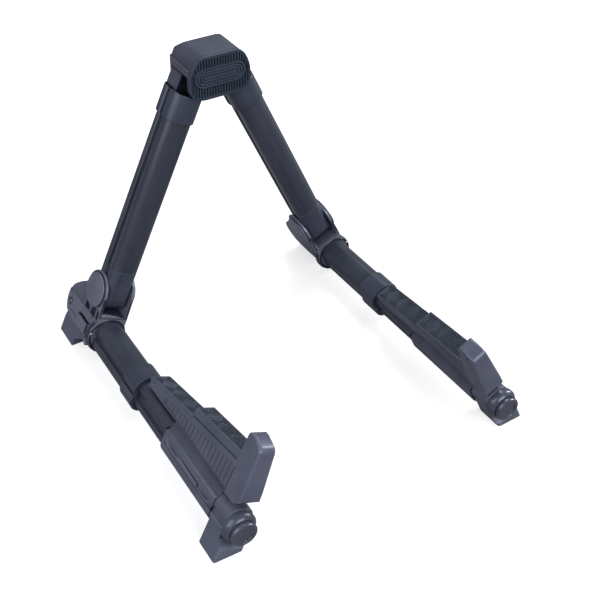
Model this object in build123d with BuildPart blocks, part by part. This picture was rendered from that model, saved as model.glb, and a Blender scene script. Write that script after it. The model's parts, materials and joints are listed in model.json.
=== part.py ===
"""Folding A-frame guitar stand.

Two legs hinge on a head block. At the foot of each leg a bracket carries a telescopic arm that reaches forward,
and each arm's front section carries a swivelling cradle for the instrument's body.

Millimetres, +Z up. The origin is on the floor, in the plane of symmetry, midway between the knob faces in front
(-Y) and the heels of the rear feet. The right-hand side (+X) is modelled and mirrored for the left.
"""

from build123d import *
from math import cos, radians, sin
import os

os.makedirs("parts", exist_ok=True)

# ---------------------------------------------------------------- driving dimensions
LEAN = 25.0               # sideways lean of each leg from the vertical, degrees
SPLAY = 0.8               # each side is turned outward about its leg, degrees
ARM_HEIGHT = 22.0         # arm axis above the floor, under the leg
PIN_RISE = 33.5           # fold pin above the arm axis, measured along the leg
PIN_BACK = 17.0           # fold pin behind the front of the bracket's ring
LEG_SPAN = 187.4          # fold pin to head axle, along the leg
LEG_FORE = 1.5            # leg's centre line in front of the fold pin
AXLE_SPREAD = 16.8        # head axle to the plane of symmetry
KNOB_REACH = 233.5        # ring front to the face of the end knob
HEEL_REACH = 55.4         # ring front back to the heel of the rear foot

# extruded bars: half width along the fold pin, half depth, corner radius
BAR_W = 11.25
BAR_D = 13.75
BAR_CORNER = 8.5
BAR_WALL = 1.5
GROOVE_WIDTH = 5.0
GROOVE_DEPTH = 2.0

# fits
SLIP = 0.15               # bar sliding in bar, all round
SNUG = 0.05               # seated pieces and running pins, on the radius
GAP = 0.3                 # between pieces of different bodies

# head block
HEAD_HALF = 24.2
HEAD_TOP = 23.2           # above the axles
HEAD_LOW = 8.4            # front plate below the axles
HEAD_FRONT = 16.0         # in front of the leg's centre line
HEAD_BACK = 17.0
HEAD_WALL = 3.0
HEAD_PLATE = 3.3          # front plate
COVER_THICK = 3.0
SHOULDER_RUN = 6.5        # sloping shoulder: across and down
SHOULDER_DROP = 7.0
ROOF_RUN = 6.4            # slope along the back edge of the roof: back and down
ROOF_DROP = 6.2
AXLE_R = 3.0
AXLE_SINK = 1.8           # axle end in each plate
BOSS_R = 4.0
PAD_THICK = 3.5
PAD_OVERHANG = 3.2        # pad below the front plate
PAD_GROOVE = 1.2
RIB_PITCH = 2.25
RIB_COUNT = 17

# leg
KNUCKLE_R = 12.0
NECK_DROP = 10.5          # head axle down to the top of the leg collar
LEG_COLLAR = 21.5
COLLAR_STEP = 1.5         # how far the leg collar stands proud of its bar
COLLAR_WEB = 0.9          # collar's wall where it follows the bar's groove
SHOE_TOP = 24.5           # top of the lower leg fitting, above the fold pin
SHOE_CHIN = 2.0           # its front face below the fold pin
EYE_R = 14.4              # round end of the fitting about the fold pin
EYE_HALF = 10.7           # half its width along the pin
SPIGOT = 20.0

# bracket
CHEEK = 2.0
CHEEK_LOW = 9.0           # lower edge of the cheeks below the arm axis
LUG_R = 16.0
PIN_R = 4.0
FLANGE_R = 9.5
FLANGE_THICK = 0.6
PIVOT_CAP_R = 14.0
PIVOT_CAP_THICK = 1.2
RING_R = 16.2
RING_LONG = 6.0
SOCKET_WALL = 2.0
SOCKET_DEPTH = 40.0
SLOT_FLOOR = 17.2         # bottom of the slot between the cheeks, above the arm axis
SLOT_BACK = 32.0          # back of that slot behind the ring
LOBE_BACK = 55.5          # back of the rear lobe behind the ring
BUTTON_LONG = 19.0
BUTTON_HIGH = 11.5
BUTTON_AT = (-21.5, -1.0)
BUTTON_PROUD = 2.0
BUTTON_TRAVEL = 1.2
BUTTON_SPRING_R = 1.6
SCREW_R = 1.5
SCREW_HEAD_R = 2.6
SCREW_HEAD = 1.6
REAR_SCREW_AT = (-48.0, 3.5)

# arm
ARM_TUBE_FRONT = 78.0
ARM_COLLAR = 19.0
ARM_COLLAR_STEP = 1.75
ARM_COLLAR_LIP = 1.0
FRONT_TUBE_BACK = 15.0
FRONT_WALL = 1.4
SLEEVE_LONG = 75.7
SLEEVE_W = 11.6
SLEEVE_D = 13.9
SLEEVE_CORNER = 8.8
SPINDLE_R = 9.2
SPINDLE_PLUG = 20.0
STUB_R = 5.9
STUB_LONG = 13.0
CAP_W = 10.6
CAP_D = 13.0
CAP_CORNER = 8.0
CAP_LONG = 17.5
CAP_DROP = 1.5            # cap and knob below the arm axis
KNOB_LONG = 11.5
KNOB_BOSS_R = 12.6
KNOB_NECK_R = 9.5
KNOB_DISC_R = 11.5
KNOB_DISC = 4.6
KNOB_NECK = 1.6

# feet: places along the arm, forward of the ring
FOOT_HALF = 10.4
FOOT_ROUND = 2.5
FLOOR_CLEAR = 1.2         # bracket above the floor
REAR_FOOT_FRONT = -28.3
TOE_LONG = 6.0            # front foot ahead of the end cap
TOE_RIDGE = 19.0          # ridge across the front foot, below the arm axis

# cradle: its tip, step and screws are placed from the back of the sleeve
TIP_LONG = 42.5
TIP_UNDER = 14.3
TIP_TOP = 22.6
STEP_ON = 17.5
REAR_PAD_END = 32.5
REAR_PAD_THICK = 3.6
FRONT_PAD_START = 39.0
FRONT_PAD_END = 47.4
FRONT_PAD_THICK = 6.4
CRADLE_HALF = 7.8
LIP_LAP = 0.2             # back of the lip behind the front of the sleeve
LIP_HALF_LOW = 8.8
LIP_HALF_HIGH = 6.4
LIP_TOP = 63.5
LIP_CLEAR = 14.4          # underside of the lip above the arm axis
LIP_ROUND = 6.0

# ---------------------------------------------------------------- derived places
SIN, COS = sin(radians(LEAN)), cos(radians(LEAN))
TURN, STRAIGHT = sin(radians(SPLAY)), cos(radians(SPLAY))
RING_Y = STRAIGHT * (KNOB_REACH - HEEL_REACH) / 2
LEG_Y = RING_Y + STRAIGHT * (PIN_BACK - LEG_FORE)
AXLE_Z = ARM_HEIGHT + (LEG_SPAN + PIN_RISE) * COS
SEAM = LEG_SPAN - NECK_DROP
CHEEK_IN = EYE_HALF + GAP
CHEEK_OUT = CHEEK_IN + CHEEK
CAP_FRONT = KNOB_REACH - KNOB_LONG
CAP_BACK = CAP_FRONT - CAP_LONG
TOE = CAP_FRONT + TOE_LONG
SLEEVE_END = CAP_BACK - GAP
SLEEVE_START = SLEEVE_END - SLEEVE_LONG
TIP_START = SLEEVE_START - TIP_LONG
STEP_AT = SLEEVE_START + STEP_ON
LIP_BACK = SLEEVE_END - LIP_LAP

AHEAD = Vector(0, -1, 0)
ACROSS = Vector(COS, 0, SIN)       # across the leg, away from the middle
UP = Vector(-SIN, 0, COS)          # up the leg
FORWARD = AHEAD * STRAIGHT + ACROSS * TURN
OUT = ACROSS * STRAIGHT - AHEAD * TURN     # along the fold pin, away from the middle
PIN = Vector(AXLE_SPREAD, LEG_Y, AXLE_Z) - UP * LEG_SPAN - FORWARD * LEG_FORE
RING = PIN + FORWARD * PIN_BACK - UP * PIN_RISE
PIN_AT = (-PIN_BACK, PIN_RISE)     # the fold pin in a side view


def arm_cut(forward):
    """Plane across the arm: x outward, y up the leg, normal forward."""
    return Plane(origin=RING + FORWARD * forward, x_dir=OUT, z_dir=FORWARD)


def cap_cut(forward):
    """Plane across the end cap and knob, which sit lower than the arm axis."""
    return Plane(origin=RING + FORWARD * forward - UP * CAP_DROP, x_dir=OUT, z_dir=FORWARD)


def side_view(outward):
    """Plane along the arm: x forward of the ring, y above the arm axis, normal inboard."""
    return Plane(origin=RING + OUT * outward, x_dir=FORWARD, z_dir=-OUT)


def deck(above):
    """Plane over the arm: x forward of the ring, y outward, normal up the leg."""
    return Plane(origin=RING + UP * above, x_dir=FORWARD, z_dir=UP)


def leg_cut(height):
    """Plane across the leg: x outward, y back, normal up the leg, height above the fold pin."""
    return Plane(origin=PIN + UP * height + FORWARD * LEG_FORE, x_dir=OUT, z_dir=UP)


def head_front(forward):
    """Upright plane across the head: x to the right, y above the axles, normal forward."""
    return Plane(origin=(0, LEG_Y - forward, AXLE_Z), x_dir=(1, 0, 0), z_dir=AHEAD)


def ground(height):
    """A block that fills everything lower than this height above the floor."""
    with BuildPart() as block:
        with BuildSketch(Plane.XY.offset(height)):
            Rectangle(4 * KNOB_REACH, 4 * KNOB_REACH)
        extrude(amount=-4 * ARM_HEIGHT)
    return block.part


def save(piece, name):
    """Labels one finished piece and writes it."""
    piece.part.label = name
    export_step(piece.part, f"parts/{name}.step")


def save_pair(piece, name):
    """Writes a right-hand piece and its mirror image for the left."""
    save(piece, "right_" + name)
    with BuildPart() as twin:
        add(piece.part)
        mirror(about=Plane.YZ, mode=Mode.REPLACE)
    save(twin, "left_" + name)


floor_ground = ground(0)
low_ground = ground(FLOOR_CLEAR)


# ---------------------------------------------------------------- bar sections
def bar_section(half_w, half_d, corner, groove_width=0.0, groove_depth=0.0):
    """Rounded rectangle, with a groove down the middle of both sides if one is asked for."""
    with BuildSketch() as section:
        RectangleRounded(2 * half_w, 2 * half_d, corner)
        if groove_depth:
            with Locations((half_w, 0), (-half_w, 0)):
                Rectangle(2 * groove_depth, groove_width, mode=Mode.SUBTRACT)
    return section.sketch


def inset_section(inset):
    """The bar's grooved section moved inward all round by a wall or a clearance."""
    return bar_section(
        BAR_W - inset, BAR_D - inset, BAR_CORNER - inset, GROOVE_WIDTH + 2 * inset, GROOVE_DEPTH
    )


bar_outside = inset_section(0)
bar_inside = inset_section(BAR_WALL)
front_outside = inset_section(BAR_WALL + SLIP)
front_inside = inset_section(BAR_WALL + SLIP + FRONT_WALL)
leg_plug = inset_section(BAR_WALL + SNUG)
spindle_plug = inset_section(BAR_WALL + SLIP + FRONT_WALL + SNUG)
collar_bore = inset_section(-SNUG)


def collar_section(step):
    """Outside of a collar that stands proud of the bar by step and follows its groove."""
    return bar_section(
        BAR_W + step, BAR_D + step, BAR_CORNER + step,
        GROOVE_WIDTH - 2 * COLLAR_WEB, step + GROOVE_DEPTH - COLLAR_WEB,
    )


# ---------------------------------------------------------------- head block
INNER_BACK = HEAD_BACK - COVER_THICK
INNER_FRONT = HEAD_FRONT - HEAD_PLATE
BOSS_IN = 8.2             # upper bosses, from the axles towards the middle
BOSS_UP = 14.8
BOSS_PLACES = [(0, 2), (AXLE_SPREAD - BOSS_IN, BOSS_UP), (BOSS_IN - AXLE_SPREAD, BOSS_UP)]
AXLE_PLACES = [(AXLE_SPREAD, 0), (-AXLE_SPREAD, 0)]
PEG_PLACES = [(8, 8), (-8, 8)]
PEG_R = 2.0


def head_outline(inset, low, round_low=5.0):
    """Block with sloping shoulders, a flat roof and rounded lower corners."""
    half, top = HEAD_HALF - inset, HEAD_TOP - inset
    with BuildSketch() as outline:
        with BuildLine():
            Polyline(
                (half, -low),
                (half, top - SHOULDER_DROP),
                (half - SHOULDER_RUN, top),
                (SHOULDER_RUN - half, top),
                (-half, top - SHOULDER_DROP),
                (-half, -low),
                close=True,
            )
        make_face()
        if round_low:
            fillet(outline.vertices().group_by(Axis.Y)[0], round_low)
    return outline.sketch


with BuildSketch() as knuckle_room:
    with Locations(*AXLE_PLACES):
        Circle(KNUCKLE_R + GAP)
    for side in (1, -1):
        with Locations(Location((side * AXLE_SPREAD, 0, 0), (0, 0, side * LEAN))):
            Rectangle(2 * (KNUCKLE_R + GAP), 3 * HEAD_LOW, align=(Align.CENTER, Align.MAX))

with BuildPart() as behind_roof:
    with BuildSketch(Plane(origin=(HEAD_HALF, LEG_Y, AXLE_Z), x_dir=(0, 1, 0), z_dir=(1, 0, 0))):
        with BuildLine():
            Polyline(
                (HEAD_BACK - ROOF_RUN, HEAD_TOP),
                (HEAD_BACK, HEAD_TOP - ROOF_DROP),
                (HEAD_BACK, HEAD_TOP),
                close=True,
            )
        make_face()
    extrude(amount=-2 * HEAD_HALF)

with BuildPart() as head_housing:
    with BuildSketch(head_front(-INNER_BACK)):
        add(head_outline(0, HEAD_LOW))
    extrude(amount=INNER_BACK + HEAD_FRONT)
    with BuildSketch(head_front(-INNER_BACK)):
        add(head_outline(HEAD_WALL, 3 * HEAD_LOW, 0))
        add(knuckle_room.sketch)
    extrude(amount=INNER_BACK + INNER_FRONT, mode=Mode.SUBTRACT)
    with BuildSketch(head_front(-INNER_BACK)):
        with Locations(*BOSS_PLACES):
            Circle(BOSS_R)
    extrude(amount=INNER_BACK + INNER_FRONT)
    with BuildSketch(head_front(-INNER_BACK)):
        with Locations(*BOSS_PLACES):
            Circle(SCREW_R + SNUG)
    extrude(amount=3 * HEAD_WALL, mode=Mode.SUBTRACT)
    with BuildSketch(head_front(INNER_FRONT)):
        with Locations(*AXLE_PLACES):
            Circle(AXLE_R + SNUG)
    extrude(amount=AXLE_SINK, mode=Mode.SUBTRACT)
    with BuildSketch(head_front(INNER_FRONT)):
        with Locations(*PEG_PLACES):
            Circle(PEG_R + SNUG)
    extrude(amount=HEAD_PLATE, mode=Mode.SUBTRACT)
    add(behind_roof.part, mode=Mode.SUBTRACT)

with BuildPart() as head_cover:
    with BuildSketch(head_front(-HEAD_BACK)):
        add(head_outline(0, HEAD_LOW))
    extrude(amount=COVER_THICK)
    add(behind_roof.part, mode=Mode.SUBTRACT)
    with BuildSketch(head_front(-INNER_BACK)):
        with Locations(*AXLE_PLACES):
            Circle(AXLE_R + SNUG)
    extrude(amount=-AXLE_SINK, mode=Mode.SUBTRACT)
    with BuildSketch(head_front(-HEAD_BACK)):
        with Locations(*BOSS_PLACES):
            Circle(SCREW_R + SNUG)
    extrude(amount=COVER_THICK, mode=Mode.SUBTRACT)
    with BuildSketch(head_front(-HEAD_BACK)):
        with Locations(*BOSS_PLACES):
            Circle(SCREW_HEAD_R + SNUG)
    extrude(amount=SCREW_HEAD, mode=Mode.SUBTRACT)

with BuildPart() as head_screws:
    with BuildSketch(head_front(-HEAD_BACK)):
        with Locations(*BOSS_PLACES):
            Circle(SCREW_HEAD_R)
    extrude(amount=SCREW_HEAD)
    with BuildSketch(head_front(SCREW_HEAD - HEAD_BACK)):
        with Locations(*BOSS_PLACES):
            Circle(SCREW_R)
    extrude(amount=3 * HEAD_WALL)

with BuildPart() as leg_axles:
    with BuildSketch(head_front(SNUG - INNER_BACK - AXLE_SINK)):
        with Locations(*AXLE_PLACES):
            Circle(AXLE_R)
    extrude(amount=INNER_BACK + INNER_FRONT + 2 * AXLE_SINK - 2 * SNUG)

PAD_LOW = HEAD_LOW + PAD_OVERHANG
PAD_MID = (HEAD_TOP - PAD_LOW) / 2
RIB_ROW = 12.4            # rib rows above and below the pad's middle
RIB_HIGH = 5.4

with BuildPart() as head_pad:
    with BuildSketch(head_front(HEAD_FRONT)) as pad_face:
        add(head_outline(0.4, PAD_LOW, 0))
        fillet(pad_face.vertices().group_by(Axis.Y)[0], 5)
        fillet(pad_face.vertices().group_by(Axis.Y)[-1], 4)
    extrude(amount=PAD_THICK)
    fillet(head_pad.faces().sort_by(Axis.Y)[0].edges(), 0.8)
    with BuildSketch(head_front(HEAD_FRONT + PAD_THICK)):
        with Locations((0, PAD_MID + RIB_ROW), (0, PAD_MID - RIB_ROW)):
            with GridLocations(RIB_PITCH, 0, RIB_COUNT, 1):
                Rectangle(RIB_PITCH / 2, RIB_HIGH)
        with Locations((0, PAD_MID)):
            for half, high in ((18.6, 6.9), (15.5, 3.8)):
                SlotOverall(2 * half, 2 * high)
                SlotOverall(2 * (half - 1), 2 * (high - 1), mode=Mode.SUBTRACT)
    extrude(amount=-PAD_GROOVE, mode=Mode.SUBTRACT)
    with BuildSketch(head_front(HEAD_FRONT)):
        with Locations(*PEG_PLACES):
            Circle(PEG_R)
    extrude(amount=-HEAD_PLATE)

# ---------------------------------------------------------------- leg
with BuildPart() as leg_top:
    with BuildSketch(head_front(-(KNUCKLE_R))):
        with Locations((AXLE_SPREAD, 0)):
            Circle(KNUCKLE_R)
        with Locations(Location((AXLE_SPREAD, 0, 0), (0, 0, LEAN))):
            Rectangle(2 * KNUCKLE_R, NECK_DROP, align=(Align.CENTER, Align.MAX))
        neck_end = (AXLE_SPREAD + NECK_DROP * SIN, -NECK_DROP * COS, 0)
        with Locations(Location(neck_end, (0, 0, LEAN))):
            Rectangle(2 * KNUCKLE_R, KNUCKLE_R, align=(Align.CENTER, Align.MAX), mode=Mode.SUBTRACT)
    extrude(amount=2 * KNUCKLE_R)
    with BuildSketch(leg_cut(SEAM)):
        add(leg_plug)
    extrude(amount=-SPIGOT)
    with BuildSketch(head_front(-KNUCKLE_R)):
        with Locations((AXLE_SPREAD, 0)):
            Circle(AXLE_R + SNUG)
    extrude(amount=2 * KNUCKLE_R, mode=Mode.SUBTRACT)

with BuildPart() as leg_collar:
    with BuildSketch(leg_cut(SEAM - LEG_COLLAR)):
        add(collar_section(COLLAR_STEP))
        add(collar_bore, mode=Mode.SUBTRACT)
    extrude(amount=LEG_COLLAR)

with BuildPart() as leg_tube:
    with BuildSketch(leg_cut(SHOE_TOP)):
        add(bar_outside)
        add(bar_inside, mode=Mode.SUBTRACT)
    extrude(amount=SEAM - SHOE_TOP)

LEG_FRONT = LEG_FORE - PIN_BACK + BAR_D      # leg's front and back faces in a side view
LEG_REAR = LEG_FORE - PIN_BACK - BAR_D

with BuildPart() as leg_bottom:
    with BuildSketch(leg_cut(-EYE_R)):
        add(bar_outside)
    extrude(amount=SHOE_TOP + EYE_R)
    with BuildSketch(side_view(EYE_HALF)):
        with Locations(PIN_AT):
            Circle(EYE_R)
        with BuildLine():
            Polyline(
                (LEG_REAR, PIN_RISE),
                (LEG_REAR, PIN_RISE + SHOE_TOP),
                (LEG_FRONT, PIN_RISE + SHOE_TOP),
                (LEG_FRONT, PIN_RISE - SHOE_CHIN),
                close=True,
            )
        make_face()
    extrude(amount=2 * EYE_HALF, mode=Mode.INTERSECT)
    with BuildSketch(leg_cut(SHOE_TOP)):
        add(leg_plug)
    extrude(amount=SPIGOT)
    with BuildSketch(side_view(BAR_W)):
        with Locations(PIN_AT):
            Circle(PIN_R + SNUG)
    extrude(amount=2 * BAR_W, mode=Mode.SUBTRACT)

# ---------------------------------------------------------------- bracket
LOBE_LOW = (5.2 - LOBE_BACK, -6.3)       # ends of the rear lobe's arc
LOBE_HIGH = (5.5 - LOBE_BACK, 19.0)

with BuildSketch() as bracket_side:
    with Locations(PIN_AT):
        Circle(LUG_R)
    with BuildLine():
        Polyline(
            (LUG_R - PIN_BACK, PIN_RISE),
            (0, RING_R),
            (0, -CHEEK_LOW),
            (-SOCKET_DEPTH + RING_LONG, -CHEEK_LOW),
            LOBE_LOW,
        )
        ThreePointArc(LOBE_LOW, (-LOBE_BACK, 6.5), LOBE_HIGH)
        Polyline(
            LOBE_HIGH,
            (11.7 - LOBE_BACK, 24.5),
            (-LUG_R - PIN_BACK + 2.0, PIN_RISE),
            (LUG_R - PIN_BACK, PIN_RISE),
        )
    make_face()

SPRING_FOOT = BAR_W - GROOVE_DEPTH      # floor of the bar's groove, where the button's spring stands
socket_outside = bar_section(CHEEK_OUT, BAR_D + SOCKET_WALL, BAR_CORNER + SOCKET_WALL)


def button_outline(ease):
    """Rounded plate, larger all round by ease."""
    with BuildSketch() as outline:
        with Locations(BUTTON_AT):
            RectangleRounded(BUTTON_LONG + 2 * ease, BUTTON_HIGH + 2 * ease, 4.0 + ease)
    return outline.sketch


with BuildPart() as bracket:
    with BuildSketch(side_view(CHEEK_OUT)):
        add(bracket_side.sketch)
    extrude(amount=2 * CHEEK_OUT)
    with BuildSketch(arm_cut(-SOCKET_DEPTH)):
        add(socket_outside)
    extrude(amount=SOCKET_DEPTH)
    with BuildSketch(arm_cut(-RING_LONG)):
        Circle(RING_R)
    extrude(amount=RING_LONG)
    with BuildSketch(side_view(CHEEK_IN)):
        with Locations((-SLOT_BACK, SLOT_FLOOR)):
            Rectangle(3 * LUG_R, 3 * LUG_R, align=(Align.MIN, Align.MIN))
    extrude(amount=2 * CHEEK_IN, mode=Mode.SUBTRACT)
    with BuildSketch(arm_cut(-SOCKET_DEPTH)):
        add(collar_bore)
    extrude(amount=SOCKET_DEPTH, mode=Mode.SUBTRACT)
    with BuildSketch(side_view(CHEEK_OUT)):
        with Locations(PIN_AT):
            Circle(PIN_R + SNUG)
    extrude(amount=2 * CHEEK_OUT, mode=Mode.SUBTRACT)
    with BuildSketch(side_view(CHEEK_OUT)):
        add(button_outline(GAP))
    extrude(amount=CHEEK_OUT - SPRING_FOOT + SNUG, mode=Mode.SUBTRACT)
    with BuildSketch(side_view(CHEEK_OUT)):
        with Locations(REAR_SCREW_AT):
            Circle(SCREW_R + SNUG)
    extrude(amount=2 * CHEEK_OUT - CHEEK, mode=Mode.SUBTRACT)
    with BuildSketch(side_view(CHEEK_OUT)):
        with Locations(REAR_SCREW_AT):
            Circle(SCREW_HEAD_R + SNUG)
    extrude(amount=SCREW_HEAD, mode=Mode.SUBTRACT)
    with BuildSketch(side_view(RING_R)):
        with Locations((-RING_LONG / 2, 0)):
            Circle(SCREW_R + SNUG)
    extrude(amount=RING_R - BAR_W + GROOVE_DEPTH, mode=Mode.SUBTRACT)
    add(low_ground, mode=Mode.SUBTRACT)

with BuildPart() as bracket_outer:
    add(bracket.part)
    split(bisect_by=side_view(0), keep=Keep.BOTTOM)

with BuildPart() as bracket_inner:
    add(bracket.part)
    split(bisect_by=side_view(0), keep=Keep.TOP)

with BuildPart() as bracket_screws:
    with BuildSketch(side_view(CHEEK_OUT)):
        with Locations(REAR_SCREW_AT):
            Circle(SCREW_HEAD_R)
    extrude(amount=SCREW_HEAD)
    with BuildSketch(side_view(CHEEK_OUT - SCREW_HEAD)):
        with Locations(REAR_SCREW_AT):
            Circle(SCREW_R)
    extrude(amount=2 * CHEEK_OUT - CHEEK - SCREW_HEAD - SNUG)
    with BuildSketch(side_view(RING_R - GAP)):
        with Locations((-RING_LONG / 2, 0)):
            Circle(SCREW_R)
    extrude(amount=RING_R - GAP - BAR_W + GROOVE_DEPTH)

FLANGE_OUT = CHEEK_OUT + FLANGE_THICK

with BuildPart() as pivot_bolt:
    with BuildSketch(side_view(FLANGE_OUT)):
        with Locations(PIN_AT):
            Circle(FLANGE_R)
    extrude(amount=FLANGE_THICK)
    with BuildSketch(side_view(CHEEK_OUT)):
        with Locations(PIN_AT):
            Circle(PIN_R)
    extrude(amount=CHEEK_OUT + FLANGE_OUT)
    with BuildSketch(side_view(-CHEEK_OUT)):
        with Locations(PIN_AT):
            Circle(FLANGE_R)
            Circle(PIN_R + SNUG, mode=Mode.SUBTRACT)
    extrude(amount=FLANGE_THICK)

with BuildPart() as pivot_cap_outer:
    with BuildSketch(side_view(FLANGE_OUT)):
        with Locations(PIN_AT):
            Circle(PIVOT_CAP_R)
    extrude(amount=-PIVOT_CAP_THICK)
    fillet(pivot_cap_outer.edges(), 0.5)

with BuildPart() as pivot_cap_inner:
    with BuildSketch(side_view(-FLANGE_OUT)):
        with Locations(PIN_AT):
            Circle(PIVOT_CAP_R)
    extrude(amount=PIVOT_CAP_THICK)
    fillet(pivot_cap_inner.edges(), 0.5)

with BuildPart() as rear_foot:
    with BuildSketch(side_view(FOOT_HALF)):
        with BuildLine():
            Polyline(
                (4.0 - LOBE_BACK, -6.0),
                (-HEEL_REACH, -ARM_HEIGHT),
                (-HEEL_REACH, -2 * ARM_HEIGHT),
                (REAR_FOOT_FRONT, -2 * ARM_HEIGHT),
                (REAR_FOOT_FRONT, -ARM_HEIGHT),
                (REAR_FOOT_FRONT + 12.0, -BAR_D),
                (REAR_FOOT_FRONT + 12.0, -6.0),
                close=True,
            )
        make_face()
    extrude(amount=2 * FOOT_HALF)
    with BuildSketch(deck(-2 * ARM_HEIGHT)):
        with Locations((-HEEL_REACH, 0)):
            RectangleRounded(
                2 * SOCKET_DEPTH, 2 * FOOT_HALF, FOOT_ROUND, align=(Align.MIN, Align.CENTER)
            )
    extrude(amount=2 * ARM_HEIGHT, mode=Mode.INTERSECT)
    add(bracket.part, mode=Mode.SUBTRACT)
    with BuildSketch(arm_cut(-SOCKET_DEPTH)):
        add(collar_bore)
    extrude(amount=SOCKET_DEPTH, mode=Mode.SUBTRACT)
    add(floor_ground, mode=Mode.SUBTRACT)

# ---------------------------------------------------------------- release button
BUTTON_SEAT = BAR_W + BUTTON_TRAVEL + GAP

with BuildPart() as release_button:
    with BuildSketch(side_view(BUTTON_SEAT)):
        add(button_outline(0))
    extrude(amount=-(CHEEK_OUT + BUTTON_PROUD - BUTTON_SEAT))
    fillet(release_button.faces().sort_by(Axis.X)[-1].edges(), 0.8)

with BuildPart() as button_spring:
    with BuildSketch(side_view(SPRING_FOOT)):
        with Locations((BUTTON_AT[0], 0)):
            Circle(BUTTON_SPRING_R)
    extrude(amount=-(BUTTON_SEAT - SPRING_FOOT))

# ---------------------------------------------------------------- arm
with BuildPart() as arm_tube:
    with BuildSketch(arm_cut(-SOCKET_DEPTH)):
        add(bar_outside)
        add(bar_inside, mode=Mode.SUBTRACT)
    extrude(amount=SOCKET_DEPTH + ARM_TUBE_FRONT)

with BuildPart() as arm_collar:
    with BuildSketch(arm_cut(ARM_TUBE_FRONT - ARM_COLLAR)):
        add(collar_section(ARM_COLLAR_STEP))
        add(collar_bore, mode=Mode.SUBTRACT)
    extrude(amount=ARM_COLLAR)
    with BuildSketch(arm_cut(ARM_TUBE_FRONT)):
        add(collar_section(ARM_COLLAR_STEP))
        add(bar_inside, mode=Mode.SUBTRACT)
    extrude(amount=ARM_COLLAR_LIP)

with BuildPart() as front_tube:
    with BuildSketch(arm_cut(FRONT_TUBE_BACK)):
        add(front_outside)
        add(front_inside, mode=Mode.SUBTRACT)
    extrude(amount=SLEEVE_START - FRONT_TUBE_BACK)

with BuildPart() as spindle:
    with BuildSketch(arm_cut(SLEEVE_START)):
        add(spindle_plug)
    extrude(amount=-SPINDLE_PLUG)
    with BuildSketch(arm_cut(SLEEVE_START)):
        Circle(SPINDLE_R)
    extrude(amount=CAP_BACK - SLEEVE_START)
    with BuildSketch(arm_cut(CAP_BACK)):
        Circle(STUB_R)
    extrude(amount=STUB_LONG)

with BuildPart() as end_cap:
    with BuildSketch(cap_cut(CAP_BACK)):
        add(bar_section(CAP_W, CAP_D, CAP_CORNER, GROOVE_WIDTH, 1.0))
    extrude(amount=CAP_FRONT - CAP_BACK)
    with BuildSketch(arm_cut(CAP_BACK)):
        Circle(STUB_R + SNUG)
    extrude(amount=STUB_LONG + SNUG, mode=Mode.SUBTRACT)

with BuildPart() as front_foot:
    with BuildSketch(side_view(FOOT_HALF)):
        with BuildLine():
            Polyline(
                (CAP_BACK, -CAP_D / 2),
                (CAP_BACK, -2 * ARM_HEIGHT),
                (TOE - 1.0, -2 * ARM_HEIGHT),
                (TOE, -TOE_RIDGE),
                (CAP_FRONT, -CAP_D - CAP_DROP),
                (CAP_FRONT, -CAP_D / 2),
                close=True,
            )
        make_face()
    extrude(amount=2 * FOOT_HALF)
    with BuildSketch(deck(-2 * ARM_HEIGHT)):
        with Locations((TOE, 0)):
            RectangleRounded(TOE - CAP_BACK, 2 * FOOT_HALF, FOOT_ROUND, align=(Align.MAX, Align.CENTER))
    extrude(amount=2 * ARM_HEIGHT, mode=Mode.INTERSECT)
    add(end_cap.part, mode=Mode.SUBTRACT)
    with BuildSketch(arm_cut(CAP_BACK)):
        Circle(CAP_W - 1.5)
    extrude(amount=CAP_FRONT - CAP_BACK, mode=Mode.SUBTRACT)
    add(floor_ground, mode=Mode.SUBTRACT)

with BuildPart() as end_knob:
    with BuildSketch(cap_cut(CAP_FRONT)):
        Circle(KNOB_BOSS_R)
    extrude(amount=KNOB_REACH - KNOB_DISC - KNOB_NECK - CAP_FRONT)
    chamfer(end_knob.edges().group_by(Axis.Y)[0], 2.2)
    with BuildSketch(cap_cut(KNOB_REACH - KNOB_DISC - KNOB_NECK)):
        Circle(KNOB_NECK_R)
    extrude(amount=KNOB_NECK)
    with BuildSketch(cap_cut(KNOB_REACH - KNOB_DISC)):
        Circle(KNOB_DISC_R)
    extrude(amount=KNOB_DISC)
    fillet(end_knob.edges().group_by(Axis.Y)[0], 1.2)

# ---------------------------------------------------------------- cradle
REAR_BED = [(TIP_START, TIP_TOP - REAR_PAD_THICK), (STEP_AT, REAR_PAD_END - REAR_PAD_THICK)]
FRONT_BED = [(STEP_AT, FRONT_PAD_START - FRONT_PAD_THICK), (LIP_BACK, FRONT_PAD_END - FRONT_PAD_THICK)]
CRADLE_SCREWS = [(SLEEVE_START + on, up) for on, up in ((8, 20), (32, 22), (56, 24))]

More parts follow.
